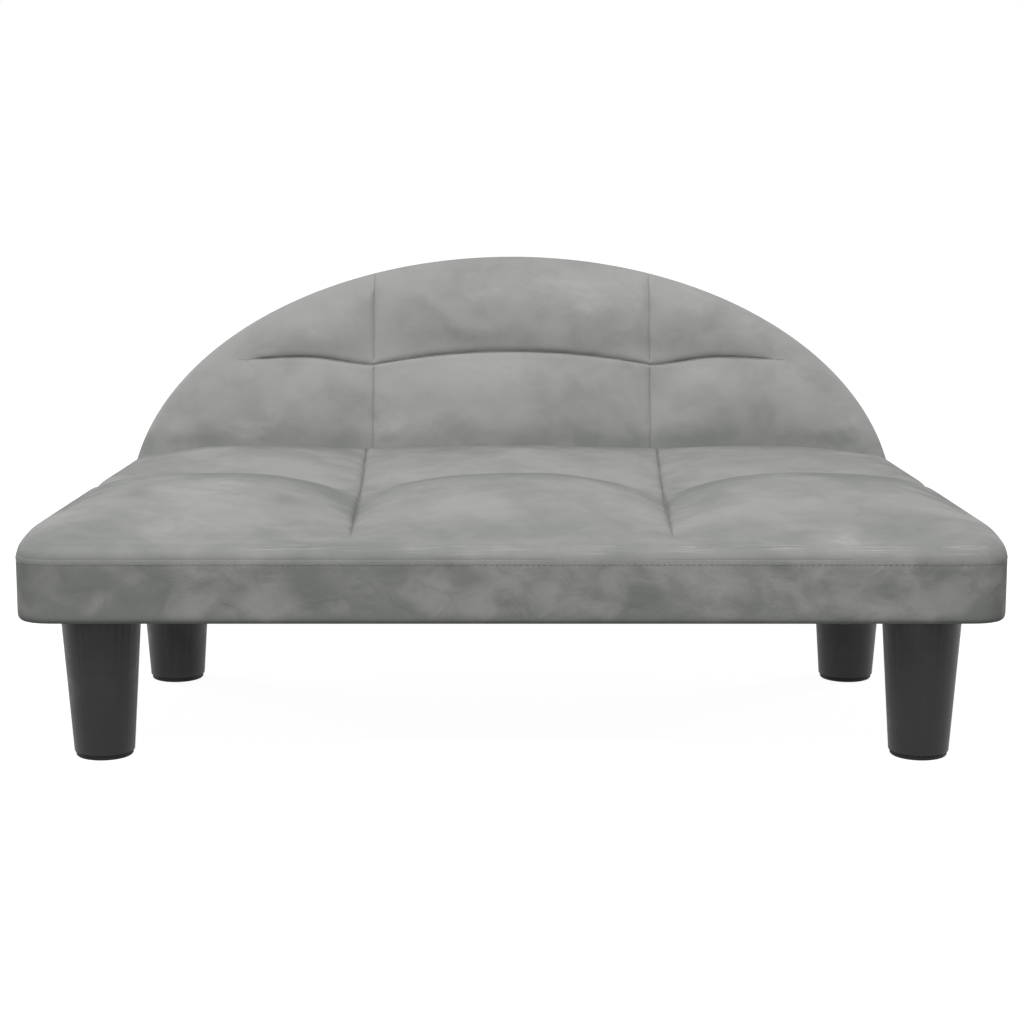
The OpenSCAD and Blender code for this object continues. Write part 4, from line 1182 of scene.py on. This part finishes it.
class BED_OT_seat_cover(Step, bpy.types.Operator):
    """Seat cover: six quilted panels and a plain band, blown up with a cloth simulation and sewn down"""
    bl_idname = "bed.seat_cover"
    bl_label = "Seat cover"

    def build(self, forms):
        s = forms.s
        rings = (
            [(*place, 0.0, 0.0, 0.0) for place in arc(s.edge, 13, 26, 38, 50, 61, 68, 73.4, 78.8, 84, 90)]
            + [(0.0, s.edge, k / 6, s.hem, 0.0) for k in range(1, 7)]
            + [(inset, 0.0, 1.0, rise, 0.0) for rise, inset in arc(s.hem, 30, 60, 90)]
            + [(s.hem + k * (s.flange - 0.002 - s.hem), 0.0, 1.0, 0.0, 0.0) for k in (0.5, 1.0)]
        )
        first = (s.edge, 0.0, 0.0, 0.0, 1.0)
        quilted_cover(
            "quilted_seat_cover", "seat_cover", forms.seat, forms, rings, first, low_crown=0.88, loose=4, give=0.012
        )


class BED_OT_seat_foam(Step, bpy.types.Operator):
    """Seat foam: crowned under each panel and drawn in by the seams, flat on its board"""
    bl_idname = "bed.seat_foam"
    bl_label = "Seat foam"

    def build(self, forms):
        s = forms.s
        room = s.skin + 2 * ROOM
        bottom = s.foam_level - forms.seat.low
        rings = [(*place, 0.0, 0.0, 0.0) for place in arc(s.edge, *FOAM_RIM, room=room)]
        rings += [(room, 0.0, 1.0, bottom + CUT_RISE, 0.0), (room + CUT_INSET, 0.0, 1.0, bottom, 0.0)]
        first, last = (s.edge, room, 0.0, 0.0, 1.0), (s.edge, 0.0, 1.0, bottom, 0.0)
        cushion_foam("seat_cushion_foam", "seat_foam", forms.seat, forms, rings, first, last)


class BED_OT_back_cover(Step, bpy.types.Operator):
    """Backrest cover: six quilted panels on a half oval, blown up with a cloth simulation and sewn down"""
    bl_idname = "bed.back_cover"
    bl_label = "Backrest cover"

    def build(self, forms):
        b = forms.b
        rear = b.depth - b.panel
        rings = (
            [(*place, 0.0, 0.0) for place in arc(b.edge, 16, 32, 48, 64, 78, 90)]
            + [(0.0, mix(b.edge, rear - b.hem, k / 4), 0.0, 0.0) for k in range(1, 5)]
            + [(inset, rear - rise, 0.0, 0.0) for rise, inset in arc(b.hem, 30, 60, 90)]
            + [(b.hem + k * (b.flange - b.hem), rear, 0.0, 0.0) for k in (0.5, 1.0)]
        )
        first = (b.edge, 0.0, 1.0, 0.0)
        quilted_cover(
            "quilted_back_cover", "back_cover", forms.back, forms, rings, first, low_crown=0.85, loose=3, give=0.008
        )


class BED_OT_back_foam(Step, bpy.types.Operator):
    """Backrest foam: crowned under each panel, flat against its board and cut off above the cleat"""
    bl_idname = "bed.back_foam"
    bl_label = "Backrest foam"

    def build(self, forms):
        b = forms.b
        room = forms.s.skin + ROOM
        rear = b.depth - b.panel - forms.s.skin - b.board
        rings = [(*place, 0.0, 1.0) for place in arc(b.edge, *FOAM_RIM, room=room)]
        rings += [(room, rear - CUT_RISE, 0.0, 1.0), (room + CUT_INSET, rear, 0.0, 1.0)]
        first, last = (b.edge, room, 1.0, 1.0), (b.edge, rear, 0.0, 1.0)
        cushion_foam("back_cushion_foam", "back_foam", forms.back, forms, rings, first, last)


class BED_OT_back_panel(Step, bpy.types.Operator):
    """Rear fabric: one stretched piece behind the backrest, with a turned hem"""
    bl_idname = "bed.back_panel"
    bl_label = "Rear fabric"

    def build(self, forms):
        b, back = forms.b, forms.back
        inset, foot, pitch = b.panel_inset, 0.0199, 0.009
        # The turned hem as (inset, depth), from its inner edge out and round
        hem = (
            (0.0105, -0.0005), (0.0096, -0.0001), (0.0085, 0.0001), (0.0030, 0.0001),
            (0.0012, 0.0), (0.0003, -0.0003), (0.0, -0.0007), (0.0002, -0.0011),
        )
        rings = [(inset + beyond, b.depth + depth, 0.0, 0.0) for beyond, depth in hem]
        grid, around, _ = laid_out(back, pitch, rings, (inset + 0.0125, b.depth - 0.0006, 0.0, 0.0))
        mesh = quilt("rear_fabric_form", grid, around)
        mesh.flip_normals()
        points = coordinates(mesh)
        x, up, _ = back.parts(points)
        half = b.width / 2 - b.flange
        side = np.sqrt(np.clip(1 - (np.abs(x) / half) ** 2, 0, 1)) * (b.rise - b.flange) + b.skirt
        inside = np.minimum(side - up, up - b.cleat)
        sink = 0.0009 * ramp(inside, 0.0, 0.012) + 0.0006 * ramp(inside, 0.0, 0.08)
        drawn = np.array([0.00035 * noise.noise(Vector((p * 16, q * 16, 3.0))) for p, q in zip(x, up)])
        outward = np.array([0.0, back.cos, -back.sin])
        move_points(mesh, points + outward * (drawn * ramp(inside, 0.0, 0.02) - sink)[:, None])
        piece = new_object("rear_fabric", mesh)
        finished_cloth(piece, smoothed=True, thickness=0.0008)
        dress(piece, "back_panel", "rear_cloth")


class BED_OT_dust_cover(Step, bpy.types.Operator):
    """Dust cover: a thin cloth stapled under the frame, with a hole for each leg's bolt"""
    bl_idname = "bed.dust_cover"
    bl_label = "Dust cover"

    def build(self, forms):
        s, seat = forms.s, forms.seat
        inset = 0.009
        centres = [(sum(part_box("leg_stud_" + leg), Vector()) / 2).xy for leg in LEGS]
        mesh = dust_mesh(seat, inset, pitch=0.0105, centres=centres)
        points = coordinates(mesh)
        x, d = points[:, 0], points[:, 1] + seat.middle
        edge = np.minimum(np.minimum(d, s.depth - d), seat.half(d) - np.abs(x)) - inset
        bay = np.abs(np.sin(np.pi * np.clip(np.abs(x) / (s.width / 2 - s.flange), 0, 1)))
        sag = 0.0022 * ramp(edge, 0.012, 0.082) * bay
        for cx, cy in centres:
            sag *= ramp(np.hypot(x - cx, points[:, 1] - cy), 0.020, 0.050)
        hem = 0.00025 * bell(edge - 0.011, 0.0012)
        waves = np.array([0.0005 * noise.noise(Vector((p * 14, q * 30, 1.0))) for p, q in zip(x, d)])
        points[:, 2] = s.underside - sag - hem + waves * ramp(edge, 0.010, 0.040) * (sag > 1e-5)
        move_points(mesh, points)
        piece = new_object("dust_cloth", mesh)
        finished_cloth(piece, thickness=0.0005)
        dress(piece, "dust_cover", "dust_cloth")


def dust_mesh(seat, inset, pitch, centres):
    """A flat sheet that faces down, with the cloth's outline at an inset and a round hole at each centre."""
    rear = seat.s.depth - inset
    across, along = 2 * steps(1.0, pitch / seat.s.width) - 1, steps(1.0, pitch / seat.s.depth)
    nx, ny = len(across), len(along)
    d = mix(inset, rear, along)[:, None] * np.ones(nx)
    x, d = seat.rounded(across * seat.half(d, inset), d, rear, inset)
    work = bmesh.new()
    grid = [[work.verts.new((x[j, i], d[j, i] - seat.middle, 0.0)) for i in range(nx)] for j in range(ny)]
    skipped, holes = set(), []
    for cx, cy in centres:
        gaps = np.hypot(x - cx, d - seat.middle - cy)
        j, i = np.unravel_index(np.argmin(gaps), gaps.shape)
        skipped |= {(j + n, i + m) for n in range(-2, 2) for m in range(-2, 2)}
        holes.append((cx, cy, [grid[j + n][i + m] for m, n in rim_loop(4, 4) - 2]))
        for n in (-1, 0, 1):
            for m in (-1, 0, 1):
                work.verts.remove(grid[j + n][i + m])
    for j in range(ny - 1):
        for i in range(nx - 1):
            if (j, i) not in skipped:
                work.faces.new((grid[j][i], grid[j + 1][i], grid[j + 1][i + 1], grid[j][i + 1]))
    for cx, cy, outer in holes:
        for radius in (0.0125, 0.0085, 0.006):
            turns = [math.atan2(vert.co.y - cy, vert.co.x - cx) for vert in outer]
            inner = [work.verts.new((cx + radius * math.cos(t), cy + radius * math.sin(t), 0.0)) for t in turns]
            for corners in zip(outer, inner, inner[1:] + inner[:1], outer[1:] + outer[:1]):
                work.faces.new(corners)
            outer = inner
    bmesh.ops.recalc_face_normals(work, faces=work.faces)
    if sum(face.normal.z for face in work.faces) > 0:
        bmesh.ops.reverse_faces(work, faces=work.faces)
    mesh = bpy.data.meshes.new("dust_cloth_form")
    work.to_mesh(mesh)
    work.free()
    return mesh


class BED_OT_staples(Step, bpy.types.Operator):
    """Staples along the edge of the dust cover"""
    bl_idname = "bed.staples"
    bl_label = "Staples"

    def build(self, forms):
        s, seat = forms.s, forms.seat
        pitch, inset, wire = 0.048, 0.014, 0.00035
        rear = s.depth - inset
        spots = []
        count = math.floor((s.width - 2 * s.corner) / pitch / 2)
        for k in range(-count, count + 1):
            spots.append((k * pitch, inset, 0.0))
            if abs(k * pitch) < seat.half(s.depth) - s.rear_corner:
                spots.append((k * pitch, rear, 0.0))
        for k in range(math.floor((s.depth - 2 * s.corner) / pitch) + 1):
            d = s.corner + pitch / 2 + k * pitch
            if d < rear - s.rear_corner:
                spots += [(m * (seat.half(d) - inset), d, math.pi / 2) for m in (-1, 1)]
        mesh = mesh_of("staple_spots", [(x, d - seat.middle, s.underside - wire) for x, d, _ in spots])
        paint(mesh, "turn", [turn + 0.09 * math.sin(7.3 * n) for n, (_, _, turn) in enumerate(spots)])
        zinc = material("zinc_plate")
        piece = staples("dust_cloth_staples", mesh, Width=0.0097, Leg=0.0035, Wire_radius=wire, Material=zinc)
        dress(piece, "dust_cover_staples")


class BED_OT_stitches(Step, bpy.types.Operator):
    """Stitches in the quilting seams and beside the border seam"""
    bl_idname = "bed.stitches"
    bl_label = "Stitches"

    def build(self, forms):
        s, b, seat, back = forms.s, forms.b, forms.seat, forms.back
        along, across = np.linspace(0, 1, 160), np.linspace(-1, 1, 300)

        def seat_line(x, d):
            return np.column_stack([x, d - seat.middle, seat.seam_level(d)])

        d = mix(0.060, s.depth + 0.012, along)
        x = across * (seat.half(s.cross_seam) - 0.022)
        on_seat = [seat_line(side * seat.seam(d), d) for side in (-1, 1)]
        on_seat.append(seat_line(x, np.full_like(x, s.cross_seam)))
        columns, rows = seat.lattice(0.006)
        i, j = rim_loop(len(columns) - 1, len(rows) - 1).T
        border = seat.points(columns[i], rows[j], (0.0, STITCH_DROP, 0.0, 0.0, 0.0))
        border = border[~seat.fixed(border)]
        start = int(np.argmin(border[:, 0] + 3 * (border[:, 1] < border[:, 1].max() - 0.01)))
        on_seat.append(np.roll(border, -start, axis=0))
        top = b.skirt + b.rise * math.sqrt(1 - (2 * b.seam_x / b.width) ** 2) - b.edge
        up = mix(back.crease - 0.004, top, along)
        x = across * CROSS_REACH
        on_back = [back.place(side * b.seam_x + 0 * up, up, 0 * up) for side in (-1, 1)]
        on_back.append(back.place(x, back.seam_level(x), 0 * x))
        for name, lines in (("quilted_seat_cover", on_seat), ("quilted_back_cover", on_back)):
            tree = bvhtree.BVHTree.FromObject(bpy.data.objects[name], bpy.context.evaluated_depsgraph_get())
            hits = [[tree.find_nearest(Vector(p)) for p in line] for line in lines]
            laid = [[hit[0] + hit[1] * STITCH_LIFT for hit in line] for line in hits]
            dress(stitch_lines(name.replace("cover", "stitches"), laid, forms.c), None)


class BED_OT_legs(Step, bpy.types.Operator):
    """Legs with their foot pads and washers"""
    bl_idname = "bed.legs"
    bl_label = "Legs"

    def build(self, forms):
        for leg in LEGS:
            for node, name, body, radius, finish, slot in (
                ("leg_", "tapered_leg_", "_leg", 0.0007, "leg_shell", "leg_plastic"),
                ("foot_pad_", "foot_glide_", "_leg", 0.0003, "pad_rubber", "pad_plastic"),
                ("leg_washer_", "leg_spacer_", "_washer", 0.0003, "pad_rubber", "pad_plastic"),
            ):
                piece = rounded_copy(node + leg, name + leg, radius)
                dress(piece, node + leg, finish, leg + body)
                piece.data.set_sharp_from_angle(angle=math.radians(42))


def rounded_copy(node, name, radius):
    """A copy of a CAD node with its sharp edges rounded."""
    mesh = frame["nodes"][node].data.copy()
    mesh.name = name
    work = bmesh.new()
    work.from_mesh(mesh)
    bmesh.ops.remove_doubles(work, verts=work.verts, dist=1e-5)
    bmesh.ops.dissolve_limit(work, angle_limit=math.radians(1), verts=work.verts, edges=work.edges)
    work.to_mesh(mesh)
    work.free()
    piece = new_object(name, mesh)
    bevel = piece.modifiers.new("Bevel", "BEVEL")
    bevel.width = radius
    bevel.segments = 2
    bevel.limit_method = "ANGLE"
    bevel.angle_limit = math.radians(35)
    return baked(piece)


class BED_OT_frame(Step, bpy.types.Operator):
    """Finishes of the frame, boards and hardware, which keep their shapes"""
    bl_idname = "bed.frame"
    bl_label = "Frame and hardware"

    def build(self, forms):
        blocks, studs = (tuple(kind + leg for leg in LEGS) for kind in ("leg_block_", "leg_stud_"))
        screws = ("frame_screws", "deck_screws", "cleat_screws", "back_screws", "back_screw_washers", "leg_t_nuts")
        for finish, nodes in (
            ("pine_across", ("front_rail", "rear_rail", "back_cleat")),
            ("pine_deep", ("side_rail_left", "side_rail_right", "centre_batten", *blocks)),
            ("board_face", ("seat_deck", "back_board")),
            ("zinc_plate", screws + studs),
        ):
            for name in nodes:
                for slot in frame["nodes"][name].material_slots:
                    slot.material = material(finish)


class BED_OT_stage(Step, bpy.types.Operator):
    """Floor, even light, lamps and camera"""
    bl_idname = "bed.stage"
    bl_label = "Stage"

    def build(self, forms):
        scene, setup = forms.scene, forms.scene.bed_stage
        scene.view_settings.view_transform = "Standard"
        camera = bpy.data.cameras.new("camera")
        camera.lens = setup.lens
        camera.sensor_width = 36.0
        camera.clip_end = 50.0
        scene.camera = new_object("camera", camera)
        scene.camera.location = setup.camera
        scene.camera.rotation_euler = (math.pi / 2 - setup.pitch, 0.0, 0.0)
        for name, power, width, place in (
            ("key_lamp", setup.key, 1.7, (-0.29, -1.375, 2.69)),
            ("fill_lamp", setup.fill, 1.6, (-0.15, -2.6, 0.75)),
            ("left_lamp", setup.side, 1.2, (-2.2, 1.3, 0.45)),
            ("right_lamp", setup.side, 1.2, (2.2, 1.3, 0.45)),
        ):
            data = bpy.data.lights.new(name, "AREA")
            data.shape = "DISK"
            data.size = width
            data.energy = power
            lamp = new_object(name, data)
            lamp.location = place
            lamp.rotation_euler = (Vector(LIT) - lamp.location).to_track_quat("-Z", "Y").to_euler()
        self.lay_floor()
        scene.world = self.sky(setup.sky)

    def lay_floor(self):
        """A white floor: bright to the camera and in shines, grey to all other light."""
        f = Finish("floor_paint", Roughness=0.9, Specular_IOR_Level=0.1, Base_Color=tint((0.22, 0.22, 0.22)))
        rays = f.add("ShaderNodeLightPath").outputs
        seen = f.math("MAXIMUM", rays["Is Camera Ray"], rays["Is Glossy Ray"])
        f.link(f.shader, Emission_Color=tint(WHITE), Emission_Strength=f.times(seen, 0.95))
        corners = [(-9, -9, 0), (9, -9, 0), (9, 9, 0), (-9, 9, 0)]
        floor = new_object("floor", mesh_of("floor", corners, [], [(0, 1, 2, 3)]))
        shade(floor, f.material)

    def sky(self, strength):
        """Even light all round, which is white where it is seen."""
        world = bpy.data.worlds.new("sky")
        world.use_nodes = True
        w = Wiring(world.node_tree)
        w.tree.nodes.clear()
        rays = w.add("ShaderNodeLightPath").outputs
        through = w.math("MAXIMUM", rays["Is Glossy Ray"], rays["Is Transmission Ray"])
        seen = w.math("MAXIMUM", rays["Is Camera Ray"], through)
        level = w.remap(seen, 0.0, 1.0, strength, 1.0, kind="LINEAR")
        w.add("ShaderNodeOutputWorld", Surface=w.add("ShaderNodeBackground", Color=tint(WHITE), Strength=level))
        return world


STEPS = (
    BED_OT_seat_cover, BED_OT_seat_foam, BED_OT_back_cover, BED_OT_back_foam, BED_OT_back_panel,
    BED_OT_dust_cover, BED_OT_staples, BED_OT_stitches, BED_OT_legs, BED_OT_frame, BED_OT_stage,
)
PROPERTIES = {
    "bed_seat": SeatSizes, "bed_back": BackSizes, "bed_cloth": ClothSizes,
    "bed_colours": BedColours, "bed_stage": StageSizes,
}


class BED_PT_panel(bpy.types.Panel):
    """Lists the pieces of the dog sofa bed"""
    bl_idname = "BED_PT_panel"
    bl_label = "Dog sofa bed"
    bl_space_type = "VIEW_3D"
    bl_region_type = "UI"
    bl_category = "Dog Bed"

    def draw(self, context):
        column = self.layout.column(align=True)
        for step in STEPS:
            column.operator(step.bl_idname)
        for group_name in PROPERTIES:
            settings = getattr(context.scene, group_name)
            for key in settings.__annotations__:
                column.prop(settings, key)


CLASSES = (*PROPERTIES.values(), *STEPS, BED_PT_panel)


def register():
    for cls in CLASSES:
        bpy.utils.register_class(cls)
    for key, cls in PROPERTIES.items():
        setattr(bpy.types.Scene, key, PointerProperty(type=cls))


def unregister():
    for key in PROPERTIES:
        delattr(bpy.types.Scene, key)
    for cls in reversed(CLASSES):
        bpy.utils.unregister_class(cls)


def main():
    register()
    for step in STEPS:
        area, name = step.bl_idname.split(".")
        getattr(getattr(bpy.ops, area), name)()


if __name__ == "__main__":
    main()
